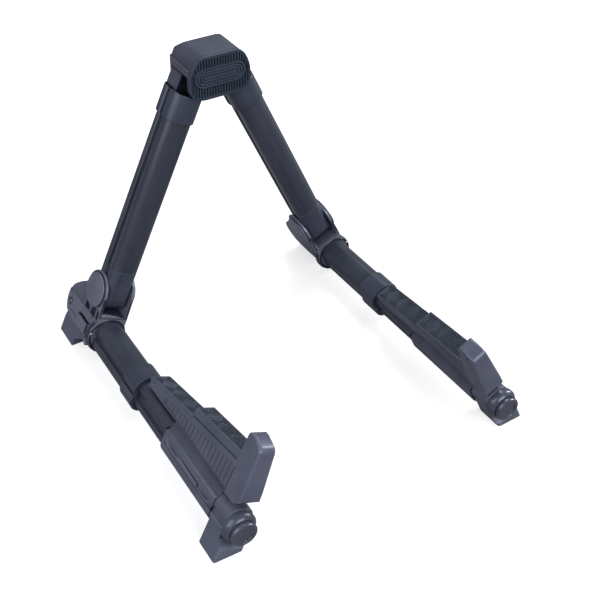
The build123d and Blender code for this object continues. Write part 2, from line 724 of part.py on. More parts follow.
with BuildPart() as cradle:
    with BuildSketch(side_view(LIP_HALF_LOW)) as lip:
        with BuildLine():
            Polyline(
                (LIP_BACK, LIP_CLEAR),
                (LIP_BACK, LIP_TOP),
                (LIP_BACK + 7, LIP_TOP),
                (LIP_BACK + 17, LIP_TOP - 3),
                (LIP_BACK + 21, LIP_CLEAR + 5),
                (LIP_BACK + 14, LIP_CLEAR),
                close=True,
            )
        make_face()
        fillet(lip.vertices().sort_by_distance((LIP_BACK + 17, LIP_TOP - 3))[0], LIP_ROUND)
    extrude(amount=2 * LIP_HALF_LOW)
    with BuildSketch(arm_cut(STEP_AT)):
        with BuildLine():
            Polyline(
                (LIP_HALF_LOW, LIP_CLEAR),
                (LIP_HALF_LOW, LIP_CLEAR + 12),
                (LIP_HALF_HIGH, LIP_TOP),
                (-LIP_HALF_HIGH, LIP_TOP),
                (-LIP_HALF_LOW, LIP_CLEAR + 12),
                (-LIP_HALF_LOW, LIP_CLEAR),
                close=True,
            )
        make_face()
    extrude(amount=2 * SLEEVE_END, mode=Mode.INTERSECT)
    with BuildSketch(side_view(CRADLE_HALF)):
        with BuildLine():
            Polyline(
                (TIP_START, TIP_UNDER),
                (SLEEVE_START + GAP, TIP_UNDER),
                (SLEEVE_START + GAP, 0),
                (SLEEVE_END, 0),
                (SLEEVE_END, FRONT_BED[1][1]),
                FRONT_BED[1],
                *reversed(REAR_BED + FRONT_BED[:1]),
                close=True,
            )
        make_face()
    extrude(amount=2 * CRADLE_HALF)
    with BuildSketch(arm_cut(SLEEVE_START + GAP)):
        add(bar_section(SLEEVE_W, SLEEVE_D, SLEEVE_CORNER))
    extrude(amount=SLEEVE_END - SLEEVE_START - GAP)
    with BuildSketch(arm_cut(SLEEVE_START)):
        Circle(SPINDLE_R + SNUG)
    extrude(amount=SLEEVE_END - SLEEVE_START, mode=Mode.SUBTRACT)
    with BuildSketch(side_view(-CRADLE_HALF)):
        with Locations(*CRADLE_SCREWS):
            Circle(SCREW_R + SNUG)
    extrude(amount=-1.5 * CRADLE_HALF, mode=Mode.SUBTRACT)
    with BuildSketch(side_view(-CRADLE_HALF)):
        with Locations(*CRADLE_SCREWS):
            Circle(SCREW_HEAD_R + SNUG)
    extrude(amount=-SCREW_HEAD, mode=Mode.SUBTRACT)

with BuildPart() as cradle_outer:
    add(cradle.part)
    split(bisect_by=side_view(0), keep=Keep.BOTTOM)

with BuildPart() as cradle_inner:
    add(cradle.part)
    split(bisect_by=side_view(0), keep=Keep.TOP)

with BuildPart() as cradle_screws:
    with BuildSketch(side_view(-CRADLE_HALF)):
        with Locations(*CRADLE_SCREWS):
            Circle(SCREW_HEAD_R)
    extrude(amount=-SCREW_HEAD)
    with BuildSketch(side_view(SCREW_HEAD - CRADLE_HALF)):
        with Locations(*CRADLE_SCREWS):
            Circle(SCREW_R)
    extrude(amount=SCREW_HEAD + SNUG - 1.5 * CRADLE_HALF)

with BuildPart() as rear_pad:
    with BuildSketch(side_view(CRADLE_HALF)):
        with BuildLine():
            Polyline(*REAR_BED, (STEP_AT, REAR_PAD_END), (TIP_START, TIP_TOP), close=True)
        make_face()
    extrude(amount=2 * CRADLE_HALF)

with BuildPart() as front_pad:
    with BuildSketch(side_view(CRADLE_HALF)):
        with BuildLine():
            Polyline(*FRONT_BED, (LIP_BACK, FRONT_PAD_END), (STEP_AT, FRONT_PAD_START), close=True)
        make_face()
    extrude(amount=2 * CRADLE_HALF)

# ---------------------------------------------------------------- pieces to files
HEAD_PIECES = {
    "head_housing": head_housing,
    "head_cover": head_cover,
    "head_pad": head_pad,
    "leg_axles": leg_axles,
    "head_screws": head_screws,
}
for name, piece in HEAD_PIECES.items():
    save(piece, name)

PAIRED_PIECES = {
    "leg_top": leg_top,
    "leg_collar": leg_collar,
    "leg_tube": leg_tube,
    "leg_bottom": leg_bottom,
    "bracket_outer": bracket_outer,
    "bracket_inner": bracket_inner,
    "bracket_screws": bracket_screws,
    "pivot_bolt": pivot_bolt,
    "pivot_cap_outer": pivot_cap_outer,
    "pivot_cap_inner": pivot_cap_inner,
    "rear_foot": rear_foot,
    "arm_tube": arm_tube,
    "arm_collar": arm_collar,
    "release_button": release_button,
    "button_spring": button_spring,
    "front_tube": front_tube,
    "spindle": spindle,
    "end_cap": end_cap,
    "front_foot": front_foot,
    "end_knob": end_knob,
    "cradle_outer": cradle_outer,
    "cradle_inner": cradle_inner,
    "cradle_screws": cradle_screws,
    "rear_pad": rear_pad,
    "front_pad": front_pad,
}
for name, piece in PAIRED_PIECES.items():
    save_pair(piece, name)
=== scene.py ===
"""Looks of the folding guitar stand: moulded skins, ribbed rubber, relief and finishes."""

import json
import math

import bmesh
import bpy
import numpy as np
from mathutils import Matrix, Vector


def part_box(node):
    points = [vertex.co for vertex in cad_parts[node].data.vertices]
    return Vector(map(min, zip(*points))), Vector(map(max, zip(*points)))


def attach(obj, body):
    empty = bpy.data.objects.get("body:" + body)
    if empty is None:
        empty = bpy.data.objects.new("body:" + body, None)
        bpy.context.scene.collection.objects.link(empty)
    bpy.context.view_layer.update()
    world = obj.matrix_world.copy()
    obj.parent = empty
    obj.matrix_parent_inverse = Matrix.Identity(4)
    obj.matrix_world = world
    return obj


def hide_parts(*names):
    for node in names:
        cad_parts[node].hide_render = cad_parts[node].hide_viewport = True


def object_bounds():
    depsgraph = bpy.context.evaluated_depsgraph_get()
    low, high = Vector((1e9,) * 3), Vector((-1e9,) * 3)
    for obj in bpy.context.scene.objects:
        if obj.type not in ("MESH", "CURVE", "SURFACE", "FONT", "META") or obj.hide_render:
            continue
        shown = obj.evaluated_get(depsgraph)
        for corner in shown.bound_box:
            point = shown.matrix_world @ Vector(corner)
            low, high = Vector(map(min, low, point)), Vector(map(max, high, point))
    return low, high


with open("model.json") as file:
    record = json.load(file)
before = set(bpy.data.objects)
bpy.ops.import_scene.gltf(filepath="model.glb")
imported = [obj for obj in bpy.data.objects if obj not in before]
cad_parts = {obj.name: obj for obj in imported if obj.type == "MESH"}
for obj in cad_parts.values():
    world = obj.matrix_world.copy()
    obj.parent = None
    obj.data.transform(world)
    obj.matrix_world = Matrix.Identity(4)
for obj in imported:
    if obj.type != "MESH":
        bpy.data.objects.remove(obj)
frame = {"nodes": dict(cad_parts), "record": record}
CAD_BOX = [list(corner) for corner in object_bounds()]
RECORD = frame["record"]
NODES = frame["nodes"]
BODY_OF = {node: body for body, nodes in RECORD["behaviour"]["bodies"].items() for node in nodes}
SLOT_OF = {part["node"]: part["material_slot"] for part in RECORD["subparts"]}
JOINTS = {joint["name"]: joint for joint in RECORD["behaviour"]["joints"]}
MM = 0.001
SIDES = (("right", 1.0), ("left", -1.0))


# -------------------- places, from the frame
def unit(vector):
    vector = np.asarray(vector, float)
    return vector / np.linalg.norm(vector)


AHEAD = unit(JOINTS["right_front_slide"]["axis"])        # along the right arm, to the front
OUTWARD = -unit(JOINTS["right_arm_fold"]["axis"])        # along the fold pin, away from the middle
UPWARD = np.cross(OUTWARD, -AHEAD)                       # up the leg
UPWARD = UPWARD * np.sign(UPWARD[2])
ARM_ORIGIN = np.array(JOINTS["right_cradle_swivel"]["pos_m"])


def from_arm(ahead, outward, up):
    """Arrays of millimetres along the right arm, outward and up the leg, as one array of points in metres."""
    ahead, outward, up = np.broadcast_arrays(ahead, outward, up)
    return ARM_ORIGIN + MM * (
        ahead[..., None] * AHEAD + outward[..., None] * OUTWARD + up[..., None] * UPWARD
    )


def mirrored(points, side):
    """Points on the right-hand side as they are for side 1, and mirrored to the left for side -1."""
    return points * np.array([side, 1.0, 1.0])


def coordinates(mesh):
    """A mesh's corners in metres."""
    points = np.empty(len(mesh.vertices) * 3, np.float32)
    mesh.vertices.foreach_get("co", points)
    return points.reshape(-1, 3)


def along_arm(points):
    """Points in metres as millimetres ahead of the ring, outward and up the leg."""
    return (points - ARM_ORIGIN) / MM @ np.stack([AHEAD, OUTWARD, UPWARD]).T


def arm_points(node):
    """Corners of a right-hand part of the frame, along the arm."""
    return along_arm(coordinates(NODES[node].data).astype(float))


def arm_box(node):
    """Least and greatest corner of a right-hand part, along the arm."""
    points = arm_points(node)
    return points.min(0), points.max(0)


def edge_height(node, ahead, top=True):
    """Height of a node's upper or lower edge at one end, in millimetres above the arm axis."""
    points = arm_points(node)
    heights = points[np.abs(points[:, 0] - ahead) < 0.4, 2]
    return heights.max() if top else heights.min()


# -------------------- meshes
def face_outwards(mesh, merge=0.0):
    """Turns every face of a closed mesh outwards, after merging corners that lie closer than merge metres."""
    turned = bmesh.new()
    turned.from_mesh(mesh)
    if merge:
        bmesh.ops.remove_doubles(turned, verts=turned.verts, dist=merge)
        bmesh.ops.dissolve_degenerate(turned, edges=turned.edges, dist=merge)
    bmesh.ops.recalc_face_normals(turned, faces=turned.faces)
    turned.to_mesh(mesh)
    turned.free()


def in_scene(name, data):
    """A new object of a mesh, a lamp or a camera, in the scene."""
    thing = bpy.data.objects.new(name, data)
    bpy.context.scene.collection.objects.link(thing)
    return thing


def smooth(mesh, sharp=35.0):
    """Smooth shading, but for the edges that turn by more than sharp degrees."""
    mesh.polygons.foreach_set("use_smooth", np.ones(len(mesh.polygons), bool))
    mesh.set_sharp_from_angle(angle=math.radians(sharp))


def new_piece(name, points, faces, body, finish, slot, side=1.0, merge=0.0):
    """A closed mesh of right-hand points in metres; side -1 mirrors it to the left."""
    if side < 0:
        faces = [face[::-1] for face in faces]
    mesh = bpy.data.meshes.new(name)
    mesh.from_pydata(mirrored(np.array(points, float).reshape(-1, 3), side).tolist(), [], faces)
    mesh.validate()
    face_outwards(mesh, merge)
    smooth(mesh)
    mesh.materials.append(finish)
    piece = in_scene(name, mesh)
    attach(piece, body)
    return piece


def grid_faces(rows, columns, closed=False):
    """Four-cornered faces of a grid of points; closed joins the last column to the first."""
    row, column = np.meshgrid(
        np.arange(rows - 1), np.arange(columns if closed else columns - 1), indexing="ij"
    )
    after = (column + 1) % columns
    corners = [row * columns + column, (row + 1) * columns + column,
               (row + 1) * columns + after, row * columns + after]
    return np.stack(corners, -1).reshape(-1, 4).tolist()


def block_faces(rows, columns):
    """Closes a grid of top points over the same grid's rim of bottom points, which follow it."""
    rim = np.concatenate([
        np.arange(columns),
        np.arange(1, rows) * columns + columns - 1,
        (rows - 1) * columns + np.arange(columns - 2, -1, -1),
        np.arange(rows - 2, 0, -1) * columns,
    ])
    count = len(rim)
    low = rows * columns + np.arange(count)
    after = (np.arange(count) + 1) % count
    walls = np.stack([rim, rim[after], low[after], low], -1).tolist()
    return rim, grid_faces(rows, columns) + walls + [low[::-1].tolist()]


def relief_block(name, place, u, v, top, bottom, body, finish, slot, side=1.0):
    """A block whose face is the height top(u, v) over a grid, with straight walls down to bottom(u, v).

    top gives the height and the share of painted shade, 0 to 1, which the finish darkens.
    """
    uu, vv = np.meshgrid(u, v, indexing="ij")
    rim, faces = block_faces(len(u), len(v))
    height, painted_shade = top(uu, vv)
    high = place(uu, vv, height).reshape(-1, 3)
    low = place(uu, vv, bottom(uu, vv)).reshape(-1, 3)[rim]
    piece = new_piece(name, np.concatenate([high, low]), faces, body, finish, slot, side)
    shares = np.concatenate([np.broadcast_to(painted_shade, uu.shape).ravel(), np.zeros(len(rim))])
    layer = piece.data.attributes.new("painted_shade", "FLOAT", "POINT")
    layer.data.foreach_set("value", shares.astype(np.float32))
    return piece


def rounded_edge(distance, radius):
    """Drop of a rounded edge at a distance from the rim: a quarter circle of that radius."""
    near = np.clip(distance, 0, radius)
    return radius - np.sqrt(np.maximum(radius**2 - (radius - near) ** 2, 0))


def ring_piece(name, profile, centre, axis, body, finish, slot, side=1.0, steps=96, press=None):
    """A profile of (along, radius) in millimetres carried round an axis, closed on itself or at the axis.

    press gives how far each place is pushed back along the axis, from along, radius and angle.
    """
    axis = unit(axis)
    across = OUTWARD if abs(axis @ OUTWARD) < 0.5 else AHEAD
    across = unit(across - axis * (across @ axis))
    other = np.cross(axis, across)
    other = other * np.sign(other @ UPWARD)
    angle = np.linspace(0, 2 * math.pi, steps, endpoint=False)
    along, radius = np.array(profile, float).T
    along, radius, angles = np.broadcast_arrays(along[None, :], radius[None, :], angle[:, None])
    if press:
        along = along - press(along, radius, angles)
    spokes = np.cos(angles)[..., None] * across + np.sin(angles)[..., None] * other
    points = centre + MM * (along[..., None] * axis + radius[..., None] * spokes)
    count = radius.shape[1]
    faces = np.array(grid_faces(steps + 1, count, closed=True)) % (steps * count)
    return new_piece(name, points, faces.tolist(), body, finish, slot, side, merge=1e-7)


WELD = 1e-6               # corners closer than this, in metres, are one
SEAM = 2e-5               # two halves' faces lie this close to the arm's middle plane, in metres


def merged_copy(nodes, side=0.0):
    """Merged mesh of some parts; with a side, two halves that meet in the arm's middle plane become one."""
    merged = bmesh.new()
    for node in nodes:
        merged.from_mesh(NODES[node].data)
    bmesh.ops.remove_doubles(merged, verts=merged.verts, dist=WELD)
    if side:
        normal = Vector(mirrored(OUTWARD, side))
        origin = Vector(mirrored(ARM_ORIGIN, side))
        middle = [vert for vert in merged.verts if abs((vert.co - origin).dot(normal)) < SEAM]
        for vert in middle:
            vert.co -= normal * (vert.co - origin).dot(normal)
        bmesh.ops.remove_doubles(merged, verts=middle, dist=2 * SEAM)
        inner = [
            face for face in merged.faces
            if all(abs((vert.co - origin).dot(normal)) < WELD for vert in face.verts)
        ]
        bmesh.ops.delete(merged, geom=inner, context="FACES")
        rims = [edge for edge in merged.edges if edge.is_boundary]
        if rims:
            bmesh.ops.holes_fill(merged, edges=rims, sides=0)
    flat = math.radians(0.4)
    bmesh.ops.dissolve_limit(merged, angle_limit=flat, verts=merged.verts, edges=merged.edges)
    mesh = bpy.data.meshes.new("copy")
    merged.to_mesh(mesh)
    merged.free()
    return mesh


def shaped(thing):
    """An object's mesh with its modifiers carried out."""
    bpy.context.view_layer.update()
    return bpy.data.meshes.new_from_object(thing.evaluated_get(bpy.context.evaluated_depsgraph_get()))


def enclosed(points, faces):
    """Volume inside some closed faces, below zero where they face inwards."""
    total = 0.0
    for face in faces:
        corners = points[list(face)] - points[0]
        total += float((np.cross(corners[1:-1], corners[2:]) * corners[0]).sum())
    return total


def carved(mesh, cutters, side, operation="DIFFERENCE"):
    """The mesh less, or within, each closed cutter in turn: its points and faces on the right-hand side."""
    for corners, faces in cutters:
        corners = mirrored(corners, side)
        if enclosed(corners, faces) < 0:
            faces = [face[::-1] for face in faces]
        tool_mesh = bpy.data.meshes.new("cutter")
        tool_mesh.from_pydata(corners.tolist(), [], faces)
        tool, work = in_scene("cutter", tool_mesh), in_scene("work", mesh)
        cut = work.modifiers.new("cut", "BOOLEAN")
        cut.object, cut.operation, cut.solver = tool, operation, "EXACT"
        mesh = shaped(work)
        for thing in (tool, work):
            bpy.data.objects.remove(thing)
    return mesh


def circle(steps):
    """Cosines and sines of evenly spaced angles, once round."""
    angle = np.linspace(0, 2 * math.pi, steps, endpoint=False)
    return np.cos(angle), np.sin(angle)


def between_loops(low, high, way=1):
    """Points and faces of the closed solid between two loops of as many points, which run one way or -1."""
    count = len(low)
    ring = np.arange(count)
    after = (ring + 1) % count
    walls = np.stack([ring, *(ring + count, after + count, after)[::way]], -1).tolist()
    return np.concatenate([low, high]), [ring[::way].tolist(), (ring[::-way] + count).tolist()] + walls


def prism(outline, near, far):
    """Closed prism over an outline of (ahead, up) that runs either way, between two places outwards."""
    outline = np.array(outline, float)
    turn = np.roll(outline, -1, 0)
    if (outline[:, 0] * turn[:, 1] - turn[:, 0] * outline[:, 1]).sum() < 0:
        outline = outline[::-1]
    near, far = sorted((near, far))
    ahead, up = outline.T
    return between_loops(from_arm(ahead, near, up), from_arm(ahead, far, up))


def bar_line(start, end, thick, near, far):
    """Prism along a straight line from start to end, each (ahead, up), of one thickness."""
    start, end = np.array(start, float), np.array(end, float)
    along = (end - start) / np.linalg.norm(end - start)
    aside = np.array([-along[1], along[0]]) * thick / 2
    return prism([start - aside, end - aside, end + aside, start + aside], near, far)


def disc_outline(ahead, up, radius):
    """Outline of a disc: (ahead + radius cos a, up + radius sin a) once round."""
    cosine, sine = circle(20)
    return np.stack([ahead + radius * cosine, up + radius * sine], 1)


def channel(outward, up, radius, start, end):
    """Closed round rod along the arm, for scooping a channel."""
    cosine, sine = circle(40)
    across, high = outward + radius * cosine, up + radius * sine
    return between_loops(from_arm(start, across, high), from_arm(end, across, high), -1)


def ring_cutter(ahead, up, inner, outer, near, far):
    """Closed ring round an axis that runs outwards, for a round channel in a side face."""
    cosine, sine = circle(48)
    loops = [from_arm(ahead + radius * cosine, out, up + radius * sine)
             for radius, out in ((inner, near), (outer, near), (outer, far), (inner, far))]
    ring = np.arange(len(cosine))
    after = np.roll(ring, -1)
    faces = []
    for here, there in ((0, 1), (1, 2), (2, 3), (3, 0)):
        a, b = here * len(ring), there * len(ring)
        faces += np.stack([ring + a, after + a, after + b, ring + b], -1).tolist()
    return np.concatenate(loops), faces


def settle(piece, bevel):
    """Narrows a bevel until no corner of it stands more than 0.05 mm outside the piece's own box."""
    own = coordinates(piece.data)
    for _ in range(8):
        bevelled = shaped(piece)
        made = coordinates(bevelled)
        bpy.data.meshes.remove(bevelled)
        spread = max((own.min(0) - made.min(0)).max(), (made.max(0) - own.max(0)).max())
        if spread < 0.05 * MM:
            break
        bevel.width *= 0.65


def place_keys(points):
    """One whole number for each point, from its place in hundredths of a millimetre."""
    return np.round(points * 1e5).astype(np.int64) @ np.array([1 << 40, 1 << 20, 1])


CUT_ROUND = 0.12          # radius of the edges that a cutter leaves, in millimetres
SKIN_SHARP = 34.0         # edges that turn by more, in degrees, are rounded


def skin(nodes, width, finish, side=0.0, cutters=(), radius_at=None, within=None, shade=None, least=0.0):
    """Merged copy of one or more parts, carved, with sharp edges rounded to a radius in millimetres.

    Edges that a cutter leaves are rounded to CUT_ROUND, and edges shorter than least stay sharp.
    radius_at gives other radii by place, and shade each face's painted shade by place and whether it was cut.
    """
    nodes = [nodes] if isinstance(nodes, str) else list(nodes)
    mesh = merged_copy(nodes, side if len(nodes) > 1 else 0.0)
    if within:
        mesh = carved(mesh, [within], 1.0, "INTERSECT")
    plain = coordinates(mesh)
    if cutters:
        mesh = carved(mesh, cutters, side or 1.0)
        joined = bmesh.new()
        joined.from_mesh(mesh)
        bmesh.ops.remove_doubles(joined, verts=joined.verts, dist=2 * WELD)
        joined.to_mesh(mesh)
        joined.free()
    points = coordinates(mesh)
    old = np.isin(place_keys(points), place_keys(plain))
    smooth(mesh, SKIN_SHARP)
    mesh.materials.clear()
    mesh.materials.append(finish)
    mesh.polygons.foreach_set("material_index", np.zeros(len(mesh.polygons), np.int32))
    if cutters:
        corner = np.empty(len(mesh.loops), np.int32)
        mesh.loops.foreach_get("vertex_index", corner)
        starts = np.empty(len(mesh.polygons), np.int32)
        mesh.polygons.foreach_get("loop_start", starts)
        cut_faces = np.minimum.reduceat((~old[corner]).astype(float), starts)
        centres = np.empty(len(mesh.polygons) * 3, np.float32)
        mesh.polygons.foreach_get("center", centres)
        place = along_arm(mirrored(centres.reshape(-1, 3), side or 1.0))
        # Each face's share of painted shade, from the shade function.
        layer = mesh.attributes.new("painted_shade", "FLOAT", "FACE")
        layer.data.foreach_set("value", shade(*place.T, cut_faces).astype(np.float32))
    if width:
        sharp_edges = np.zeros(len(mesh.edges), bool)
        mesh.attributes["sharp_edge"].data.foreach_get("value", sharp_edges)
        pairs = np.empty(len(mesh.edges) * 2, np.int32)
        mesh.edges.foreach_get("vertices", pairs)
        pairs = pairs.reshape(-1, 2)
        middle = points[pairs].mean(1) / MM
        radius = np.full(len(pairs), width) if radius_at is None else radius_at(middle)
        radius = np.where(old[pairs].all(1), radius, CUT_ROUND) * sharp_edges
        length = np.linalg.norm(points[pairs[:, 0]] - points[pairs[:, 1]], axis=1) / MM
        radius = radius * (length >= least)
        weights = mesh.attributes.new("bevel_weight_edge", "FLOAT", "EDGE")
        weights.data.foreach_set("value", (radius / max(radius.max(), 1e-6)).astype(np.float32))
        width = radius.max()
    piece = in_scene(nodes[0] + "_skin", mesh)
    if width:
        bevel = piece.modifiers.new("rounded edges", "BEVEL")
        bevel.width = width * MM
        bevel.segments = 3
        bevel.limit_method = "WEIGHT"
        bevel.use_clamp_overlap = False
        bevel.harden_normals = True
        bevel.miter_outer = "MITER_ARC"
        settle(piece, bevel)
    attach(piece, BODY_OF[nodes[0]])
    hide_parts(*nodes)
    return piece


# -------------------- finishes
def group(name, inputs, outputs):
    """A new node group with its sockets, and its nodes for what is given and what comes out."""
    tree = bpy.data.node_groups.new(name, "ShaderNodeTree")
    for label, kind, value in inputs:
        socket = tree.interface.new_socket(name=label, in_out="INPUT", socket_type=kind)
        if value is not None:
            socket.default_value = value
    for label, kind in outputs:
        tree.interface.new_socket(name=label, in_out="OUTPUT", socket_type=kind)
    return tree, tree.nodes.new("NodeGroupInput"), tree.nodes.new("NodeGroupOutput")


def set_inputs(node, values):
    """Constants on a shader node's sockets, by the sockets' names."""
    for label, value in values.items():
        node.inputs[label].default_value = value


def moulded_group():
    """Fine moulded grain with slow changes of tone: colour, roughness and height."""
    tree, given, result = group(
        "moulded_grain",
        [("Vector", "NodeSocketVector", None), ("Colour", "NodeSocketColor", (0.05, 0.05, 0.06, 1)),
         ("Pale", "NodeSocketColor", (0.09, 0.09, 0.1, 1)), ("Grain scale", "NodeSocketFloat", 2500.0),
         ("Roughness", "NodeSocketFloat", 0.45), ("Spread", "NodeSocketFloat", 0.1),
         ("Painted shade", "NodeSocketFloat", 0.0)],
        [("Colour", "NodeSocketColor"), ("Roughness", "NodeSocketFloat"), ("Height", "NodeSocketFloat")],
    )
    make, link = tree.nodes.new, tree.links.new
    fine, slow = make("ShaderNodeTexNoise"), make("ShaderNodeTexNoise")
    fine.inputs["Detail"].default_value = 3
    set_inputs(slow, {"Scale": 38, "Detail": 4})
    link(given.outputs["Vector"], fine.inputs["Vector"])
    link(given.outputs["Vector"], slow.inputs["Vector"])
    link(given.outputs["Grain scale"], fine.inputs["Scale"])
    tone = make("ShaderNodeMapRange")
    set_inputs(tone, {"From Min": 0.36, "From Max": 0.66})
    link(slow.outputs["Fac"], tone.inputs["Value"])
    # Convex edges paler by pointiness: partly edge wear, partly a painted highlight.
    wear_and_highlight = make("ShaderNodeNewGeometry")
    edge = make("ShaderNodeMapRange")
    set_inputs(edge, {"From Min": 0.53, "From Max": 0.62, "To Max": 0.5})
    link(wear_and_highlight.outputs["Pointiness"], edge.inputs["Value"])
    weight = make("ShaderNodeMath")
    weight.operation = "MULTIPLY_ADD"
    weight.inputs[1].default_value = 0.35
    link(tone.outputs["Result"], weight.inputs[0])
    link(edge.outputs["Result"], weight.inputs[2])
    mix = make("ShaderNodeMix")
    mix.data_type = "RGBA"
    link(weight.outputs["Value"], mix.inputs["Factor"])
    link(given.outputs["Colour"], mix.inputs["A"])
    link(given.outputs["Pale"], mix.inputs["B"])
    # Painted shade: the shade share given in mixes the colour towards near black, in recesses, grooves and
    # hollows.
    painted_dark = make("ShaderNodeMix")
    painted_dark.data_type = "RGBA"
    painted_dark.inputs["B"].default_value = (0.003, 0.004, 0.008, 1)
    link(given.outputs["Painted shade"], painted_dark.inputs["Factor"])
    link(mix.outputs["Result"], painted_dark.inputs["A"])
    link(painted_dark.outputs["Result"], result.inputs["Colour"])
    rough = make("ShaderNodeMath")
    rough.operation = "MULTIPLY_ADD"
    link(fine.outputs["Fac"], rough.inputs[0])
    link(given.outputs["Spread"], rough.inputs[1])
    link(given.outputs["Roughness"], rough.inputs[2])
    link(rough.outputs["Value"], result.inputs["Roughness"])
    link(fine.outputs["Fac"], result.inputs["Height"])
    return tree


MOULDED = moulded_group()


def finish(name, colour, pale, roughness, grain=2500.0, bump=0.15, metallic=0.0, specular=0.5,
           stretch=(1.0, 1.0, 1.0)):
    """A material of one family: colour and roughness from the moulded grain, constants on the shader."""
    made = bpy.data.materials.new(name)
    made.use_nodes = True
    tree = made.node_tree
    shader = tree.nodes["Principled BSDF"]
    place = tree.nodes.new("ShaderNodeTexCoord")
    turn = tree.nodes.new("ShaderNodeMapping")
    turn.inputs["Scale"].default_value = stretch
    grains = tree.nodes.new("ShaderNodeGroup")
    grains.node_tree = MOULDED
    bumps = tree.nodes.new("ShaderNodeBump")
    link = tree.links.new
    link(place.outputs["Object"], turn.inputs["Vector"])
    link(turn.outputs["Vector"], grains.inputs["Vector"])
    # Painted shade: this attribute holds each place's share of painted shade in recesses and hollows.
    painted_shade = tree.nodes.new("ShaderNodeAttribute")
    painted_shade.attribute_name = "painted_shade"
    link(painted_shade.outputs["Fac"], grains.inputs["Painted shade"])
    set_inputs(grains, {"Colour": (*colour, 1), "Pale": (*pale, 1), "Grain scale": grain,
                        "Roughness": roughness, "Spread": 0.1})
    link(grains.outputs["Colour"], shader.inputs["Base Color"])
    link(grains.outputs["Roughness"], shader.inputs["Roughness"])
    set_inputs(bumps, {"Strength": bump, "Distance": 0.1 * MM})
    link(grains.outputs["Height"], bumps.inputs["Height"])
    link(bumps.outputs["Normal"], shader.inputs["Normal"])
    set_inputs(shader, {"Metallic": metallic, "Specular IOR Level": specular})
    if not metallic:
        shader.inputs["Specular Tint"].default_value = (0.78, 0.84, 1.0, 1)
    made.diffuse_color = (*colour, 1)
    return made


PLASTIC = finish("satin_plastic", (0.048, 0.051, 0.074), (0.1, 0.103, 0.138), 0.3)
BRACKET_PLASTIC = finish("bracket_plastic", (0.068, 0.071, 0.1), (0.14, 0.144, 0.186), 0.32)
HEAD_PLASTIC = finish("head_plastic", (0.031, 0.033, 0.048), (0.066, 0.068, 0.092), 0.3)
FOOT = finish("foot_plastic", (0.052, 0.057, 0.083), (0.09, 0.095, 0.13), 0.45, bump=0.3, grain=1800.0)
ANODISED = finish("anodised_bar", (0.025, 0.029, 0.043), (0.056, 0.062, 0.084), 0.24, metallic=0.3,
                  bump=0.06, stretch=(1.0, 1.0, 0.12))
DARK_PLASTIC = finish("dark_satin_plastic", (0.02, 0.023, 0.035), (0.05, 0.053, 0.075), 0.26)
RUBBER = finish("pad_rubber", (0.036, 0.044, 0.061), (0.066, 0.077, 0.1), 0.45, bump=0.3, grain=1600.0)
BACKREST = finish("backrest_rubber", (0.014, 0.021, 0.033), (0.038, 0.05, 0.073), 0.5, bump=0.3, grain=1600.0,
                  specular=0.35)
BLACK = finish("black_ring", (0.006, 0.007, 0.010), (0.02, 0.022, 0.03), 0.22)
STEEL = finish("zinc_steel", (0.5, 0.5, 0.52), (0.72, 0.72, 0.74), 0.25, metallic=1.0, bump=0.05)
BRASS = finish("brass_screw", (0.22, 0.19, 0.14), (0.5, 0.45, 0.36), 0.3, metallic=1.0, bump=0.05)
DARK_STEEL = finish("burnished_steel", (0.1, 0.1, 0.11), (0.3, 0.3, 0.32), 0.18, metallic=1.0, bump=0.05)
KNOB = finish("knob_plastic", (0.03, 0.032, 0.045), (0.07, 0.075, 0.1), 0.2)
TURNED = finish("turned_aluminium", (0.3, 0.3, 0.32), (0.45, 0.45, 0.47), 0.35, metallic=1.0)
FINISH_OF = {"black_plastic": PLASTIC, "foot_plastic": FOOT, "black_aluminium": ANODISED,
             "turned_aluminium": TURNED, "black_rubber": RUBBER, "bare_steel": STEEL}

for node, thing in NODES.items():
    thing.data.materials.clear()
    thing.data.materials.append(FINISH_OF[SLOT_OF[node]])
NODES["leg_axles"].data.materials[0] = BLACK
NODES["head_screws"].data.materials[0] = DARK_STEEL

# -------------------- cuts in the cradle, bracket and neck
SLEEVE = arm_points("right_cradle_outer")
SLEEVE_SIDE = SLEEVE[:, 1].max()      # outer flat of the sleeve
SLEEVE_BACK = SLEEVE[SLEEVE[:, 2] < 0, 0].min()
SLEEVE_FRONT = SLEEVE[SLEEVE[:, 2] < 0, 0].max()
(TIP, _, _), (STEP, PAD_SIDE, _) = arm_box("right_rear_pad")
LIP_BACK = arm_box("right_front_pad")[1][0]
CHEEK = arm_box("right_pivot_bolt")[1][1] - 0.6
PIN = arm_points("right_pivot_cap_outer").mean(0)
BUTTON_LOW, BUTTON_HIGH = arm_box("right_release_button")
BUTTON_OUTLINE = np.array([
    (BUTTON_LOW[0] + 0.3, BUTTON_LOW[2] + 0.3), (BUTTON_HIGH[0] - 0.2, BUTTON_LOW[2] + 0.3),
    (BUTTON_HIGH[0] - 0.2, BUTTON_HIGH[2] - 1.9), (BUTTON_LOW[0] + 3.2, BUTTON_HIGH[2] - 1.9),
    (BUTTON_LOW[0] + 0.3, BUTTON_HIGH[2] - 6.2)])

LADDER_LOW = [(TIP + 24, 16.4), (LIP_BACK + 3.0, 15.6)]
LADDER_HIGH = [(TIP + 24, 19.6), (TIP + 34, 22.9), (TIP + 64, 27.6), (LIP_BACK + 3.0, 35.8)]
INNER_LOW = [(TIP + 30, 16.4), (LIP_BACK - 1.0, 15.0)]
INNER_HIGH = [(TIP + 30, 20.4), (LIP_BACK - 1.0, 35.6)]
PANEL_DEEP = 0.9
PAD_UNDER = [edge_height("right_front_pad", at, False) for at in (STEP, LIP_BACK)]
WINDOW_DEEP = 1.7
SIDE_OUT, PAD_OUT, CHEEK_OUT = SLEEVE_SIDE + 2, PAD_SIDE + 3, CHEEK + 2    # cutters end out here

